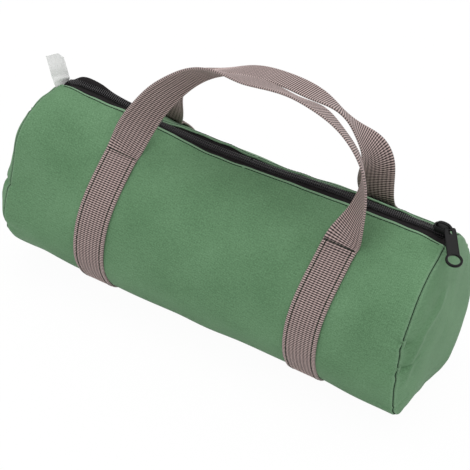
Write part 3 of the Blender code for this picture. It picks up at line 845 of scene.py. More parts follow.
zip_xs = np.concatenate([stations(0, 130, 2.0), stations(131, 150.2, 1.2)])
for side_name, side in SIDES.items():
    for end_name, end in ENDS.items():
        xs = end * zip_xs
        grid, places = tape_grid(xs, side)
        up = grid_normals(grid)
        up *= np.sign(up[..., 2:3])
        uv = np.stack(np.meshgrid(xs, places, indexing="ij"), axis=-1)
        points, faces, coords = slab(grid, grid - up * TAPE_THICKNESS, uv, ("low", "high", "end"))
        tape = piece(f"{side_name}_tape_{end_name}_half", points, faces, TAPE, coords)
        bend_with_mouth(tape)
        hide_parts(f"{side_name}_tape_{end_name}")
        if end > 0:
            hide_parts(f"{side_name}_tape_middle")
print("tape faces", len(tape.data.polygons))


# %% [markdown]
# ## Repeated shapes
#
# Coil turns and stitches are one small shape each, set along a path. The path is a mesh of points that
# carry their own direction and upward side, and a Geometry Nodes group puts the shape on each point,
# varies it a little from a fixed seed, realises it and sets its material. A coil could also be one long
# tube, but single turns follow the chain's curve and vary by themselves.

# %% Node group that sets a shape on points
GROUP_INPUTS = {
    "Points": "NodeSocketGeometry", "Shape": "NodeSocketObject", "Size spread": "NodeSocketFloat",
    "Seed": "NodeSocketInt", "Material": "NodeSocketMaterial",
}


def repeat_group():
    """The node group, with named inputs."""
    tree = bpy.data.node_groups.new("set_on_points", "GeometryNodeTree")
    for name, kind in GROUP_INPUTS.items():
        tree.interface.new_socket(name, in_out="INPUT", socket_type=kind)
    tree.interface.new_socket("Result", in_out="OUTPUT", socket_type="NodeSocketGeometry")
    given = node(tree, "NodeGroupInput").outputs
    along = node(tree, "GeometryNodeInputNamedAttribute", data_type="FLOAT_VECTOR", Name="along")
    up = node(tree, "GeometryNodeInputNamedAttribute", data_type="FLOAT_VECTOR", Name="up")
    ahead = node(tree, "FunctionNodeAlignRotationToVector", axis="X", Vector=along)
    turned = node(
        tree, "FunctionNodeAlignRotationToVector", axis="Z", pivot_axis="X", Rotation=ahead, Vector=up,
    )
    low = node(tree, MATH, operation="SUBTRACT", i0=1.0, i1=given["Size spread"])
    high = node(tree, MATH, operation="ADD", i0=1.0, i1=given["Size spread"])
    size = node(tree, "FunctionNodeRandomValue", data_type="FLOAT", i2=low, i3=high, Seed=given["Seed"])
    shape = node(tree, "GeometryNodeObjectInfo", i0=given["Shape"])
    placed = node(
        tree, "GeometryNodeInstanceOnPoints", Points=given["Points"], Instance=shape.outputs["Geometry"],
        Rotation=turned, Scale=size.outputs[1],
    )
    real = node(tree, "GeometryNodeRealizeInstances", i0=placed)
    dressed = node(tree, "GeometryNodeSetMaterial", i0=real, Material=given["Material"])
    node(tree, "NodeGroupOutput", i0=dressed)
    return tree


REPEAT = repeat_group()


def face_outwards(mesh):
    """Turns all the faces of a closed mesh outwards."""
    work = bmesh.new()
    work.from_mesh(mesh)
    bmesh.ops.recalc_face_normals(work, faces=work.faces)
    work.to_mesh(mesh)
    work.free()


def tube_shape(name, path, radius, sides=6):
    """A closed tube along a short open path, in millimetres, kept as an instance source."""
    path = np.asarray(path, float)
    tangent = unit(np.gradient(path, axis=0))
    side = unit(np.cross(tangent, np.array([0.0, 0.0, 1.0]) + 1e-6))
    other = np.cross(side, tangent)
    angles = np.linspace(0, 2 * math.pi, sides, endpoint=False)
    radius = np.broadcast_to(radius, len(path))
    rings = path[:, None] + radius[:, None, None] * (
        np.cos(angles)[None, :, None] * side[:, None] + np.sin(angles)[None, :, None] * other[:, None]
    )
    ids = wrapped(len(path), sides)
    faces = [face.tolist() for face in (*quads(ids), ids[0][:-1], ids[-1][:-1][::-1])]
    mesh = bpy.data.meshes.new(name)
    mesh.from_pydata((rings.reshape(-1, 3) * MM).tolist(), [], faces)
    mesh.validate()
    face_outwards(mesh)
    mesh.shade_smooth()
    return in_scene(name, mesh)


def set_along(name, points, along, up, shape, material, spread, seed):
    """Instances of a shape on points, as one plain mesh object."""
    mesh = bpy.data.meshes.new(name + "_points")
    mesh.from_pydata((np.asarray(points) * MM).tolist(), [], [])
    for label, vectors in (("along", along), ("up", up)):
        layer = mesh.attributes.new(label, "FLOAT_VECTOR", "POINT")
        layer.data.foreach_set("vector", unit(np.asarray(vectors, float)).astype(np.float32).ravel())
    carrier = in_scene(name + "_carrier", mesh)
    change = carrier.modifiers.new("repeat", "NODES")
    change.node_group = REPEAT
    values = {"Shape": shape, "Size spread": spread, "Seed": seed, "Material": material}
    for item in REPEAT.interface.items_tree:
        if item.in_out == "INPUT" and item.name in values:
            change[item.identifier] = values[item.name]
    carrier.update_tag()
    bpy.context.view_layer.update()
    result = bpy.data.meshes.new_from_object(carrier.evaluated_get(bpy.context.evaluated_depsgraph_get()))
    result.name = name
    result.shade_smooth()
    bpy.data.objects.remove(carrier, do_unlink=True)
    return in_scene(name, result)


def values_at(places, lengths, values):
    """Vectors at some places on a path, between those at its points."""
    return np.stack([np.interp(places, lengths, values[:, k]) for k in range(3)], axis=1)


# %% Coil
# One turn of the spiral is a flattened loop of 0.64 mm filament, and the next lies COIL_PITCH away.
COIL_PITCH = 1.45
COIL_OFFSET = 1.45
LAST_TURN = 149.6
turn_angles = np.linspace(math.radians(-150), math.radians(190), 11)
turn = np.stack([
    COIL_PITCH * (turn_angles + 2.6) / (2 * math.pi) - COIL_PITCH / 2,
    1.75 * np.cos(turn_angles),
    1.0 * np.sin(turn_angles),
], axis=1)
coil_turn = tube_shape("coil_turn", turn, 0.32, 6)
for side_name, side in SIDES.items():
    for end_name, end in ENDS.items():
        first_turn = COIL_PITCH / 2 + (COIL_PITCH / 2 if side > 0 else 0)
        xs = np.arange(first_turn, LAST_TURN, COIL_PITCH) * end
        centre = np.stack([xs, np.full(len(xs), side * COIL_OFFSET), chain_height(xs)], axis=1)
        ahead = np.stack([xs + 0.5, centre[:, 1], chain_height(xs + 0.5)], axis=1) - centre
        up = np.tile([0.0, side * 0.12, 1.0], (len(xs), 1))
        name = f"{side_name}_coil_{end_name}_half"
        coil = set_along(name, centre, ahead, up, coil_turn, COIL, spread=0.015, seed=5)
        bend_with_mouth(coil)
        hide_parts(f"{side_name}_coil_{end_name}")
        if end > 0:
            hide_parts(f"{side_name}_coil_middle")
print("coil faces", len(coil.data.polygons))

# %% Fold flaps
# A hidden flap below each lip reaches under the body panel, and closes the crease when the lip opens.
FLAP_ON_LIP, FLAP_UNDER_PANEL = 3.0, 7.0
FLAP_LENGTH = 116.0
FLAP_THICKNESS = 0.8
FLAP_CLEAR = 0.15
for side_name, side in SIDES.items():
    for end_name, end in ENDS.items():
        arcs = stations(ARC_FOLD - FLAP_ON_LIP, ARC_FOLD + FLAP_UNDER_PANEL, 1.25)
        arcs = arcs if side < 0 else ARC_END - arcs[::-1]
        grid, uv = lay(end * stations(0.0, FLAP_LENGTH, 2.9), arcs, -THICKNESS - FLAP_CLEAR)
        under = grid - grid_normals(grid) * end * FLAP_THICKNESS
        points, faces, coords = slab(grid, under, uv)
        flap = piece(f"{side_name}_flap_{end_name}_half", points, faces, CANVAS, coords)
        bend_with_mouth(flap)

# %% Zip ends
# Past the last turns both tapes are caught in the end seam under a short cross tape.
STOP_HALF = 7.5
STOP_FROM, STOP_TO = 148.2, 151.6
STOP_THICKNESS = 0.9
for end_name, end in ENDS.items():
    xs = end * np.linspace(STOP_FROM, STOP_TO, 6)
    ys = np.linspace(-STOP_HALF, STOP_HALF, 17)
    share = np.abs(ys) / STOP_HALF
    top = np.zeros((len(xs), len(ys), 3))
    for row, x in enumerate(xs):
        crown = chain_height([x])[0] + 1.25 - 3.0 * share**2
        front_edge, rear_edge = cloth([x, x], [0.4, ARC_END - 0.4])
        edge = np.where(ys[:, None] < 0, front_edge, rear_edge)
        top[row, :, 0] = x + (edge[:, 0] - x) * share
        top[row, :, 1] = ys
        top[row, :, 2] = crown * (1 - share**3) + (edge[:, 2] - 0.2) * share**3
    top[:, :, 2] -= 1.2 * np.linspace(0, 1, len(xs))[:, None] ** 2
    uv = top[..., :2]
    bottom = top - np.array([0, 0, STOP_THICKNESS])
    points, faces, coords = slab(top, bottom, uv, ("start", "end", "low", "high"))
    made = piece(f"{end_name}_zip_stop_tape", points, faces, TAPE, coords)
    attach(made, "barrel")
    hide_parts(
        f"{end_name}_zip_end", f"{end_name}_zip_end_front_coil", f"{end_name}_zip_end_rear_coil",
    )
print("flap faces", len(flap.data.polygons), "zip end faces", len(made.data.polygons))


# %% [markdown]
# ## Straps
#
# One length of webbing a side is sewn round the barrel, under it and up the other side. Its line is
# known, so it is laid straight on the canvas instead of being dropped there by a cloth simulation. The
# ribs of its weave are raised in the mesh, because they catch the light along its edges.

# %% Webbing relief
WEBBING_THICKNESS = 1.5
FLAT_WIDTH = WEBBING_WIDTH - WEBBING_THICKNESS
RIBBON_STEP = PICK / 4
ACROSS = np.linspace(-FLAT_WIDTH / 2, FLAT_WIDTH / 2, 33)


def weave_height(along):
    """Height of the woven ribs over a length, with firm cords along the selvedges."""
    picks = np.cos(2 * math.pi * along[:, None] / PICK)
    ribs = 0.11 * picks + 0.05 * np.cos(2 * math.pi * ACROSS[None] / RIB)
    inset = FLAT_WIDTH / 2 - np.abs(ACROSS[None])
    return ribs * smooth(inset, 0.5, 1.6) + 0.1 * bump(inset, 0.9, 0.5) - 0.06 * bump(inset, 2.0, 0.5)


def ribbon(name, middle, width_way, face_way, lengths):
    """A length of webbing from its middle line, the direction of its width and that of its outer face."""
    grid = middle[:, None] + ACROSS[None, :, None] * width_way[:, None]
    out = grid_normals(grid)
    out *= np.sign(np.sum(out * face_way[:, None], axis=-1, keepdims=True))
    half = (WEBBING_THICKNESS / 2 + weave_height(lengths))[..., None]
    outer, inner = grid + out * half, grid - out * half
    uv = np.stack(np.meshgrid(ACROSS, lengths), axis=-1)
    points, faces, coords = slab(outer, inner, uv, ("low", "high"))
    return piece(name, points, faces, WEBBING, coords), outer


# Where each strap's middle line lies, at the front top, round the underside and at the rear top
STRAP_X = {-1: (-81.8, -83.4, -84.0), 1: (87.6, 84.2, 84.0)}
STRAP_ABOVE = 0.35
STRAP_TOP = ARC_FOLD + 7.0
# No webbing comes nearer the table than this
FLOOR_GAP = 0.05


def strap_centre(side, arc):
    """Where a strap's middle line lies along the bag."""
    top, under, rear = STRAP_X[side]
    share = smooth(arc, ARC_FOLD, ARC_FOLD + 75)
    back = smooth(arc, ARC_END / 2, ARC_END - ARC_FOLD)
    return top + (under - top) * share + (rear - under) * back


# %% Straps
strap_faces = {}
for end_name, end in ENDS.items():
    arcs = stations(STRAP_TOP, ARC_END - STRAP_TOP, RIBBON_STEP)
    centre = strap_centre(end, arcs)
    grid_x = centre[:, None] + ACROSS[None]
    grid_arc = np.repeat(arcs[:, None], len(ACROSS), 1)
    base, out = facing(grid_x, grid_arc)
    settle = relief(np.repeat(centre, len(ACROSS)), grid_arc)
    under_face = (base + out * (settle + STRAP_ABOVE)[:, None]).reshape(*grid_x.shape, 3)
    under_face[..., 2] = np.maximum(under_face[..., 2], FLOOR_GAP)
    out = out.reshape(under_face.shape)
    height = weave_height(arcs)
    outer = under_face + out * (WEBBING_THICKNESS + height)[..., None]
    outer[..., 2] = np.where(outer[..., 2] < FLOOR_GAP, FLOOR_GAP + 0.3 * height, outer[..., 2])
    uv = np.stack(np.meshgrid(ACROSS, arcs), axis=-1)
    points, faces, coords = slab(outer, under_face, uv, ("low", "high"))
    strap = piece(f"{end_name}_strap_webbing", points, faces, WEBBING, coords)
    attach(strap, "barrel")
    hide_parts(f"{end_name}_strap")
    strap_faces[end] = (outer, out)
print("strap faces", len(strap.data.polygons))

# %% [markdown]
# ## Handles
#
# Each handle is webbing that leaves two straps, stands up and falls towards the other handle. It twists
# until its flat side nearly lies in the line of sight at the top. A simulation would have to find that
# twist by itself. Here it is drawn from stations along the middle line: x, height up the handle's
# leaning plane, and the twist of its width in degrees.

# %% Handle stations
HINGE = (30.212, 113.015)
LEAN = math.radians(78)
HANDLE_STATIONS = {
    -1: [
        (-81.8, 0, 0), (-77.2, 15.2, 20), (-70.4, 31.3, 38), (-61.7, 46.5, 45), (-50.6, 60, 55),
        (-37.2, 71.2, 62), (-21.1, 77.4, 73), (-3.6, 78.7, 84), (13.8, 80, 81), (31.3, 79.7, 73),
        (48.7, 78.5, 78), (64.9, 72.1, 71), (79.3, 62.2, 68), (89.7, 48.3, 64), (92.8, 31.2, 53),
        (91.2, 13.8, 32), (88.2, 0, 0),
    ],
    1: [
        (-84, 0, 0), (-77.6, 12.7, 25), (-70.9, 26.7, 56), (-63, 40, 89), (-51.6, 50.6, 112),
        (-38.2, 58.4, 117), (-24.1, 64.9, 112), (-9.1, 69, 109), (6.3, 71.1, 111), (21.8, 70.6, 111),
        (37.1, 68.1, 117), (51.8, 63.1, 131), (64, 53.6, 121), (75.6, 43.3, 89), (81, 29.4, 47),
        (81.5, 13.8, 21), (84, 0, 0),
    ],
}
# The webbing turns up from the strap over this length, half of it on the barrel
BEND = 9.0
STRAP_RUN = 12.0


print("stations", [len(rows) for rows in HANDLE_STATIONS.values()])


# %% Handle lines
def strap_line(end, side):
    """The middle line of a strap's outer face, from the fold line down, with its outward direction."""
    run = np.arange(0.0, STRAP_RUN, RIBBON_STEP)
    arc = ARC_FOLD + run if side < 0 else ARC_END - ARC_FOLD - run
    base, out = facing(strap_centre(end, arc), arc)
    height = relief(strap_centre(end, arc), arc) + STRAP_ABOVE + WEBBING_THICKNESS
    return base + out * height[:, None], out


def bend_with_handle(made):
    """Bakes the placement of a piece of handle webbing into its mesh."""
    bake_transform(made)


def handle_lines(side):
    """The outer face's middle line of one handle, its width's direction, its face's and its length."""
    table = np.array(HANDLE_STATIONS[side], float)
    rise = np.array([0, -side * math.cos(LEAN), math.sin(LEAN)])
    front = np.array([0, side * math.sin(LEAN), math.cos(LEAN)])
    knots = along_path(table[:, :2])
    values = spline_rows(knots, stations(0, knots[-1], RIBBON_STEP)) @ table
    hinge = np.array([0, side * HINGE[0], HINGE[1]])
    middle = hinge + values[:, :1] * np.array([1.0, 0, 0]) + values[:, 1:2] * rise
    tangent = unit(np.gradient(middle, axis=0))
    outward = unit(np.cross(tangent, front))
    outward *= np.sign(outward[len(outward) // 2] @ rise)
    twist = np.radians(values[:, 2])[:, None]
    width_way = np.cos(twist) * outward + np.sin(twist) * front
    face_way = unit(np.cross(tangent, width_way))
    face_way *= np.sign(face_way[2] @ front)
    left, left_out = strap_line(-1, side)
    right, right_out = strap_line(1, side)
    sideways = np.repeat(width_way[:1] * np.array([[1, 0, 0]]), len(left), 0)
    line = np.concatenate([left[:0:-1], middle, right[1:]])
    width_way = np.concatenate([sideways[1:], width_way, -sideways[1:]])
    face_way = np.concatenate([left_out[:0:-1], face_way, right_out[1:]])
    lengths = along_path(line)
    even = stations(0, lengths[-1], RIBBON_STEP)
    reach = int(round(BEND / 2 / RIBBON_STEP))
    window = np.ones(2 * reach + 1) / (2 * reach + 1)
    softened = []
    for values in (line, width_way, face_way):
        level = values_at(even, lengths, values)
        softened.append(np.stack([np.convolve(level[:, k], window, "valid") for k in range(3)], axis=1))
    line, width_way, face_way = softened
    width_way = unit(width_way)
    face_way = unit(np.cross(np.cross(width_way, face_way), width_way))
    return line, width_way, face_way, along_path(line)


# %% Handles
handle_faces = {}
for side_name, side in SIDES.items():
    line, width_way, face_way, lengths = handle_lines(side)
    # The weave is stretched a little, so that its rows run on from the straps at both feet
    foot = STRAP_TOP - ARC_FOLD
    phase = (lengths[-1] - foot + STRAP_TOP) / PICK
    along = -STRAP_TOP + lengths * (1 + (round(phase) - phase) * PICK / lengths[-1])
    middle = line - face_way * WEBBING_THICKNESS / 2
    made, outer = ribbon(f"{side_name}_handle_webbing", middle, width_way, face_way, along)
    bend_with_handle(made)
    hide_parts(f"{side_name}_handle")
    handle_faces[side] = (outer, face_way)
    print(side_name, "handle length", round(float(lengths[-1]), 1), "faces", len(made.data.polygons))

# %% [markdown]
# ## Stitches
#
# Dark green lock stitches hold the webbing in two lines along each strap and across its top, and run
# along the folded hem beside the zip. A dark line in the material would catch no light, so each stitch
# is a short thread that dips at both ends.

# %% Stitch shape and runs
STITCH = 2.3
dip = np.linspace(-1, 1, 7)
stitch_path = np.stack([dip * STITCH * 0.49, np.zeros(7), 0.12 - 0.2 * dip**4], axis=1)
stitch_shape = tube_shape("stitch", stitch_path, 0.3 * (1 - 0.2 * dip**4), 6)


def stitch_run(path, up_at):
    """Places of the stitches on a path, with their directions and upward sides."""
    lengths = along_path(path)
    places = np.arange(STITCH / 2, lengths[-1] - 1e-6, STITCH)
    ahead = values_at(np.minimum(places + 0.6, lengths[-1]), lengths, path)
    behind = values_at(np.maximum(places - 0.6, 0), lengths, path)
    return values_at(places, lengths, path), unit(ahead - behind), values_at(places, lengths, up_at)


def stitched(name, runs):
    """All the stitches of some runs as one piece."""
    points, along, up = (np.concatenate(parts) for parts in zip(*runs))
    return set_along(name, points, along, up, stitch_shape, THREAD, spread=0.06, seed=11)


# %% Strap stitches
# The two lines of stitches along the webbing, measured from its middle
STITCH_LINES = (-WEBBING_WIDTH / 2 + 2.9, WEBBING_WIDTH / 2 - 3.1)
STITCH_COLUMNS = [int(np.argmin(np.abs(ACROSS - place))) for place in STITCH_LINES]
for end_name, end in ENDS.items():
    outer, out = strap_faces[end]
    runs = []
    for column in STITCH_COLUMNS:
        path = outer[:, column]
        clear = path[:, 2] > 0.5
        for start, stop in ((0, len(path) // 2), (len(path) // 2, len(path))):
            keep = clear[start:stop]
            runs.append(stitch_run(path[start:stop][keep], out[start:stop, column][keep]))
    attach(stitched(f"{end_name}_strap_stitches", runs), "barrel")

# %% Cross stitches
# One row goes across each foot of a handle, where it turns up from the barrel, and the two lines of the
# strap run on to it
CROSS_ROW = 11
for side_name, side in SIDES.items():
    outer, out = handle_faces[side]
    runs = []
    for rows in (np.arange(CROSS_ROW + 1), -1 - np.arange(CROSS_ROW + 1)):
        last = rows[-1]
        runs.append(stitch_run(outer[last], np.repeat(out[last][None], outer.shape[1], 0)))
        runs += [stitch_run(outer[rows, column], out[rows]) for column in STITCH_COLUMNS]
    made = stitched(f"{side_name}_cross_stitches", runs)
    bend_with_handle(made)

# %% Hem stitches, and seam stitches that also paint the groove's shade

HEM_STITCH = 1.2
for side_name, side in SIDES.items():
    for end_name, end in ENDS.items():
        xs = end * stations(1.0, 149.0, 1.0)
        arc = np.full(len(xs), HEM_STITCH if side < 0 else ARC_END - HEM_STITCH)
        run = stitch_run(cloth(xs, arc), facing(xs, arc)[1])
        made = stitched(f"{side_name}_hem_stitches_{end_name}_half", [run])
        bend_with_mouth(made)

# Stitches of dark thread along each end seam, which also paint the shade in the seam's groove as a dark
# line
for end_name, end in ENDS.items():
    arcs = stations(1.0, ARC_END - 1.0, 0.8)
    out = facing(np.full(len(arcs), end * (HALF - 3)), arcs)[1]
    rim = cloth(np.full(len(arcs), end * HALF), arcs) + out * 0.25
    seam = stitched(f"{end_name}_seam_thread", [stitch_run(rim, out)])
    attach(seam, "barrel")
print("seam thread faces", len(seam.data.polygons))

# %% [markdown]
# ## Slider and pull
#
# A die-cast slider with black enamel: two plates with turned-down flanges round the coil, and a bridge
# over the top that holds the pull's bar. The pull is a stamped tab with a raised rim round its ring.
# Bevelled outlines and swept bars give every edge its own radius, and Boolean cuts make the two holes.

# %% Solids for the metal pieces
CORNER_TURNS = (0, 30, 60, 90)


def outward_from(outline):
    """Outward directions at the points of a closed flat outline."""
    ahead = np.roll(outline, -1, axis=0) - np.roll(outline, 1, axis=0)
    normal = unit(np.stack([ahead[:, 1], -ahead[:, 0]], axis=1))
    return -normal if np.sum(normal * (outline - outline.mean(axis=0))) < 0 else normal


def capped(rings):
    """Points and faces of a solid made of rings, with a face over each end."""
    ids = wrapped(*rings.shape[:2])
    return rings.reshape(-1, 3), [*quads(ids), ids[0][:-1][::-1], ids[-1][:-1]]


def outline_solid(outline, low, high, bevel, steps=3):
    """A prism over a closed outline with rounded upper and lower edges, as points and faces."""
    outline = np.asarray(outline, float)
    normal = outward_from(outline)
    shares = np.arange(steps + 1) / steps
    rings = []
    for level, up, turns in ((low, 1, shares), (high, -1, 1 - shares)):
        for turn_by in math.pi / 2 * turns:
            rim = outline - normal * bevel * (1 - math.sin(turn_by))
            height = level + up * bevel * (1 - math.cos(turn_by))
            rings.append(np.c_[rim, np.full(len(outline), height)])
    return capped(np.stack(rings))


def join_parts(name, parts, sharp=40):
    """One enamelled piece from solids given as points and faces."""
    points, faces = [], []
    count = 0
    for part_points, part_faces in parts:
        way = -1 if enclosed(part_points, part_faces) < 0 else 1
        faces += [[int(v) + count for v in face][::way] for face in part_faces]
        points.append(part_points)
        count += len(part_points)
    return piece(name, np.concatenate(points), faces, ENAMEL, sharp=sharp)


def swept(path, half_width, half_height):
    """A bar with a rounded rectangular section along a path, its width along Y."""
    tangent = unit(np.gradient(path, axis=0))
    side = np.broadcast_to([0.0, 1.0, 0.0], path.shape)
    up = unit(np.cross(side, tangent))
    r = min(half_width, half_height) * 0.55
    profile = []
    for cx, cy, start in ((1, 1, 0), (-1, 1, 90), (-1, -1, 180), (1, -1, 270)):
        for turn_by in CORNER_TURNS:
            a = math.radians(start + turn_by)
            x, y = cx * (half_width - r) + r * math.cos(a), cy * (half_height - r) + r * math.sin(a)
            profile.append((x, y))
    profile = np.array(profile)
    return capped(path[:, None] + profile[None, :, :1] * side[:, None] + profile[None, :, 1:] * up[:, None])


# %% Slider
SLIDER_X = 142.6
UPPER_PLATE, LOWER_PLATE = (131.6, 132.7), (125.9, 127.0)
WEB_HEIGHTS = (126.5, 132.1)
WEB_X = SLIDER_X + 4.2
BRIDGE_X, BRIDGE_HALF = SLIDER_X + 0.6, 4.9
BRIDGE_FOOT, BRIDGE_RISE = 132.2, 3.1
FLANGE_HEIGHT = 130.7


def slider_outline():
    """The slider's plate from above, wider at the open end and with rounded shoulders."""
    t = np.linspace(0, 2 * math.pi, 48, endpoint=False)
    x = 6.0 * np.sign(np.cos(t)) * np.abs(np.cos(t)) ** 0.55
    half = 4.25 - 0.55 * smooth(x, -5, 4)
    y = half * np.sign(np.sin(t)) * np.abs(np.sin(t)) ** 0.6
    return np.stack([SLIDER_X - x, y], axis=1)


parts = [
    outline_solid(slider_outline(), *UPPER_PLATE, 0.45),
    outline_solid(slider_outline(), *LOWER_PLATE, 0.4),
]
web_turn = np.linspace(0, 2 * math.pi, 16, endpoint=False)
web = np.stack([WEB_X + 1.4 * np.cos(web_turn), 0.9 * np.sin(web_turn)], axis=1)
parts.append(outline_solid(web, *WEB_HEIGHTS, 0.1))
run = np.linspace(-4.6, 4.4, 9)
for flank in (-1, 1):
    flank_y = flank * (4.05 - 0.5 * smooth(-run, -5, 4))
    parts.append(swept(np.stack([SLIDER_X + run, flank_y, np.full(9, FLANGE_HEIGHT)], axis=1), 0.42, 1.35))
arch_turn = np.linspace(0, math.pi, 21)
arch = np.stack([
    BRIDGE_X + BRIDGE_HALF * np.cos(arch_turn),
    np.zeros(21),
    BRIDGE_FOOT + BRIDGE_RISE * np.sin(arch_turn) ** 0.7,
], axis=1)
parts.append(swept(arch, 1.25, 0.42))
slider = join_parts("enamelled_slider", parts)
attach(slider, "slider")
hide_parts("zip_slider")
print("slider faces", len(slider.data.polygons))

# %% Pull
PULL_LENGTH = 30.9
RING = 5.75
HOLE = 4.15
NECK = 4.1
HALF_SHEET = 0.65
ring_x = PULL_LENGTH - RING


def pull_profile():
    """The tab's outline in its own plane, x from the bar to the ring's far side."""
    meet = math.acos(-0.68)
    ring = [(ring_x + RING * math.cos(a), RING * math.sin(a)) for a in np.linspace(-meet, meet, 33)]
    start = [(-1.3, y) for y in (3.0, 1.0, -1.0, -3.0)]
    side_up = [(-0.6, NECK - 0.4), (3.0, NECK), (9.0, NECK), (15.0, NECK)]
    return np.array(start + [(x, -y) for x, y in side_up] + ring + list(reversed(side_up)))


def plate_with_holes(outline, holes):
    """A stamped plate with holes and softened edges, built with Boolean cuts."""
    plate = join_parts("pull_plate", [outline_solid(outline, -HALF_SHEET, HALF_SHEET, 0.3)])
    for hole in holes:
        cutter = join_parts("pull_cutter", [outline_solid(hole, -HALF_SHEET - 1, HALF_SHEET + 1, 0.01, 1)])
        cut = plate.modifiers.new("cut", "BOOLEAN")
        cut.object = cutter
        cut.solver = "EXACT"
        bpy.context.view_layer.update()
        mesh = bpy.data.meshes.new_from_object(plate.evaluated_get(bpy.context.evaluated_depsgraph_get()))
        plate.modifiers.clear()
        plate.data = mesh
        bpy.data.objects.remove(cutter, do_unlink=True)
    points = np.empty(len(plate.data.vertices) * 3)
    plate.data.vertices.foreach_get("co", points)
    faces = [list(p.vertices) for p in plate.data.polygons]
    bpy.data.objects.remove(plate, do_unlink=True)
    return points.reshape(-1, 3) / MM, faces


circle = np.linspace(0, 2 * math.pi, 40, endpoint=False)
ring_hole = np.stack([ring_x + HOLE * np.cos(circle), HOLE * np.sin(circle)], axis=1)
# The slot for the bridge is round at its outer end and flatter beside the bar
slot_half = np.linspace(-math.pi / 2, math.pi / 2, 9)
slot_hole = [(3.6 + 1.25 * math.cos(a), 1.25 * math.sin(a)) for a in slot_half]
slot_hole += [(0.9 - 0.35 * math.cos(a), -1.25 * math.sin(a)) for a in slot_half]
pull_parts = [plate_with_holes(pull_profile(), [ring_hole, slot_hole])]

# %% Pull's raised rims
RIM_HEIGHT = 0.62
RIM_RADIUS = HOLE + 0.5


def closed_bar(path, half_width, half_height):
    """A ring-shaped raised bead with a rounded section, in the plate's plane."""
    tangent = unit(np.roll(path, -1, axis=0) - np.roll(path, 1, axis=0))
    side = np.stack([tangent[:, 1], -tangent[:, 0], np.zeros(len(path))], axis=1)
    angles = np.linspace(0, 2 * math.pi, 8, endpoint=False)
    rings = path[:, None] + half_width * np.cos(angles)[None, :, None] * side[:, None]
    rings = rings + half_height * np.sin(angles)[None, :, None] * np.array([0, 0, 1.0])
    ids = wrapped(len(path), 8)
    return rings.reshape(-1, 3), quads(np.concatenate([ids, ids[:1]]))


ring_line = np.stack([ring_x + RIM_RADIUS * np.cos(circle), RIM_RADIUS * np.sin(circle)], axis=1)
tab_line = pull_profile()
tab_line = tab_line - outward_from(tab_line) * 0.5
for height in (RIM_HEIGHT, -RIM_HEIGHT):
    pull_parts.append(closed_bar(np.c_[ring_line, np.full(len(ring_line), height)], 0.38, 0.22))
    pull_parts.append(closed_bar(np.c_[tab_line, np.full(len(tab_line), height)], 0.3, 0.2))

# %% Pull on the slider
# The tab has slipped to the low end of the bridge, and slopes down over the front right shoulder
HUNG_AT = np.array([148.0, -1.2, 132.9])
PULL_AZIMUTH = math.radians(-56.7)
PULL_SLOPE = math.radians(14.5)
turned = np.array(Matrix.Rotation(PULL_AZIMUTH, 4, "Z") @ Matrix.Rotation(PULL_SLOPE, 4, "Y"))[:3, :3]
pull = join_parts("enamelled_pull", [(part @ turned.T + HUNG_AT, faces) for part, faces in pull_parts])
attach(pull, "pull")
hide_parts("zip_pull")
print("pull faces", len(pull.data.polygons))

# %% [markdown]
# ## Ribbon tag
#
# A blank white ribbon, folded double and caught in the end seam. It stands up, turns and curls a little,
# which one bent grid can show on so small a piece.

# %% Tag
TAG_ROOT = np.array([-151.0, -5.0, 124.2])
TAG_RISE = np.array([-5.2, -5.0, 26.4])
TAG_HALF = 6.3
HALF_RIBBON = 0.35
tag_rows = np.linspace(0, 1, 28)
tag_across = np.linspace(-1, 1, 17)
# The ribbon turns a little as it rises, buckles above its sewn foot and is cut short at one corner
turn_share = smooth(tag_rows, 0.05, 0.4)[:, None]
tag_way = unit((1 - turn_share) * np.array([0.15, 0.98, 0]) + turn_share * np.array([0.45, 0.89, 0]))
tag_length = tag_rows[:, None] * (1 - 0.13 * smooth(tag_across, 0.5, 1.0))[None]
tag_grid = TAG_ROOT + tag_length[..., None] * TAG_RISE
tag_grid = tag_grid + TAG_HALF * tag_across[None, :, None] * tag_way[:, None]
tag_front = unit(np.cross(tag_way, TAG_RISE))
buckle = 0.8 * bump(tag_rows, 0.27, 0.07)[:, None] * (1 + 0.4 * tag_across)[None]
buckle = buckle + 0.9 * (tag_across**2)[None] * smooth(tag_rows, 0.2, 0.9)[:, None]
buckle = buckle - 1.2 * smooth(tag_rows, 0.5, 1.0)[:, None]
tag_grid = tag_grid + buckle[..., None] * tag_front[:, None]
tag_lift = grid_normals(tag_grid) * HALF_RIBBON
tag_uv = np.stack(np.meshgrid(6 * tag_across, 22 * tag_rows), axis=-1)
points, faces, coords = slab(tag_grid + tag_lift, tag_grid - tag_lift, tag_uv, ("low", "high", "end"))
tag = piece("ribbon_tag_fold", points, faces, RIBBON, coords)
# Its foot lies in the seam
foot = TAG_ROOT * MM
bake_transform(tag)
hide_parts("ribbon_tag")
print("tag faces", len(tag.data.polygons))

# %% Small shapes that were only sources
for helper in (coil_turn, stitch_shape):
    bpy.data.objects.remove(helper, do_unlink=True)

# %% [markdown]
# ## Floor, light and camera
#
# A pale table under one wide overhead softbox, with the white surroundings of a product photograph.

# %% Table
GLOW = 0.965


def seen_directly(tree):
    """1 for the camera and for reflections and views through glass, and 0 for the light that spreads."""
    rays = node(tree, "ShaderNodeLightPath").outputs
    seen = node(tree, MATH, operation="MAXIMUM", i0=rays["Is Camera Ray"], i1=rays["Is Glossy Ray"])
    return node(tree, MATH, operation="MAXIMUM", i0=seen, i1=rays["Is Transmission Ray"])


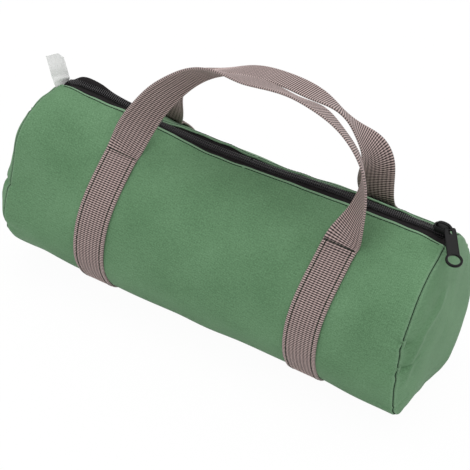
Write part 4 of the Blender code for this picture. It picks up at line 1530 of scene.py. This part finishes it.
def table_paper():
    """Matt white paper, which for the camera mostly glows, so that it is white with a faint shadow."""
    made, tree, shader = new_finish("pale_table_paper", 0.9)
    shader.inputs["Base Color"].default_value = linear("#f4f4f4")
    glow = node(tree, "ShaderNodeEmission", i0="#ffffff", i1=1.0)
    share = node(tree, MATH, operation="MULTIPLY", i0=seen_directly(tree), i1=GLOW)
    both = node(tree, "ShaderNodeMixShader", i0=share, i1=shader, i2=glow)
    tree.links.new(both.outputs[0], tree.nodes["Material Output"].inputs[0])
    return made


floor_mesh = bpy.data.meshes.new("floor")
reach = 3.0
corners = [(-reach, -reach, 0), (reach, -reach, 0), (reach, reach, 0), (-reach, reach, 0)]
floor_mesh.from_pydata(corners, [], [(0, 1, 2, 3)])
floor_mesh.materials.append(table_paper())
floor = in_scene("floor", floor_mesh)
# Just below the bag, so that the two never lie in one plane
floor.location.z = -0.2 * MM

# %% Surroundings and lamps
world = bpy.data.worlds.new("studio")
bpy.context.scene.world = world
world.use_nodes = True
tree = world.node_tree
background = tree.nodes["Background"]
# The surroundings light the bag at 0.8 and look white to the camera at 1
strength = node(tree, MATH, operation="MULTIPLY_ADD", i0=seen_directly(tree), i1=0.2, i2=0.8)
background.inputs[0].default_value = linear("#ffffff")
tree.links.new(strength.outputs[0], background.inputs[1])


def softbox(name, place, aim, size, power):
    """A rectangular lamp at a place in metres, turned towards another place."""
    data = bpy.data.lights.new(name, "AREA")
    data.shape = "RECTANGLE"
    data.size, data.size_y = size
    data.energy = power
    lamp = in_scene(name, data)
    lamp.location = place
    lamp.rotation_euler = (Vector(aim) - Vector(place)).to_track_quat("-Z", "Y").to_euler()


softbox("overhead_softbox", (-0.2, 0.25, 1.7), (0, 0, 0.05), (1.8, 1.4), 15)
softbox("front_softbox", (-0.9, -1.6, 0.9), (0, 0, 0.06), (1.2, 1.0), 3)
softbox("end_softbox", (1.7, -0.4, 0.7), (0.1, 0, 0.06), (0.9, 0.9), 1.5)

print("lamps", len(bpy.data.lights))

# %% Camera
# The camera looks from the front right and above, and is tilted a little, as the photograph's was. Its
# place is in metres and its lens in millimetres.
AZIMUTH, ELEVATION, ROLL = (math.radians(value) for value in (26.22, 35.24, 7.35))
PLACE = (0.415714, -0.852762, 0.730466)
LENS = 127.42
level = math.cos(ELEVATION)
back = Vector((math.sin(AZIMUTH) * level, -math.cos(AZIMUTH) * level, math.sin(ELEVATION)))
right = Vector((math.cos(AZIMUTH), math.sin(AZIMUTH), 0))
above = back.cross(right)
camera_x = math.cos(ROLL) * right + math.sin(ROLL) * above
camera_y = -math.sin(ROLL) * right + math.cos(ROLL) * above
camera_data = bpy.data.cameras.new("camera")
camera_data.lens = LENS
camera_data.sensor_width = 36
camera = in_scene("camera", camera_data)
camera.matrix_world = Matrix((*zip(camera_x, camera_y, back, PLACE), (0, 0, 0, 1)))
bpy.context.scene.camera = camera
bpy.context.scene.view_settings.view_transform = "Standard"
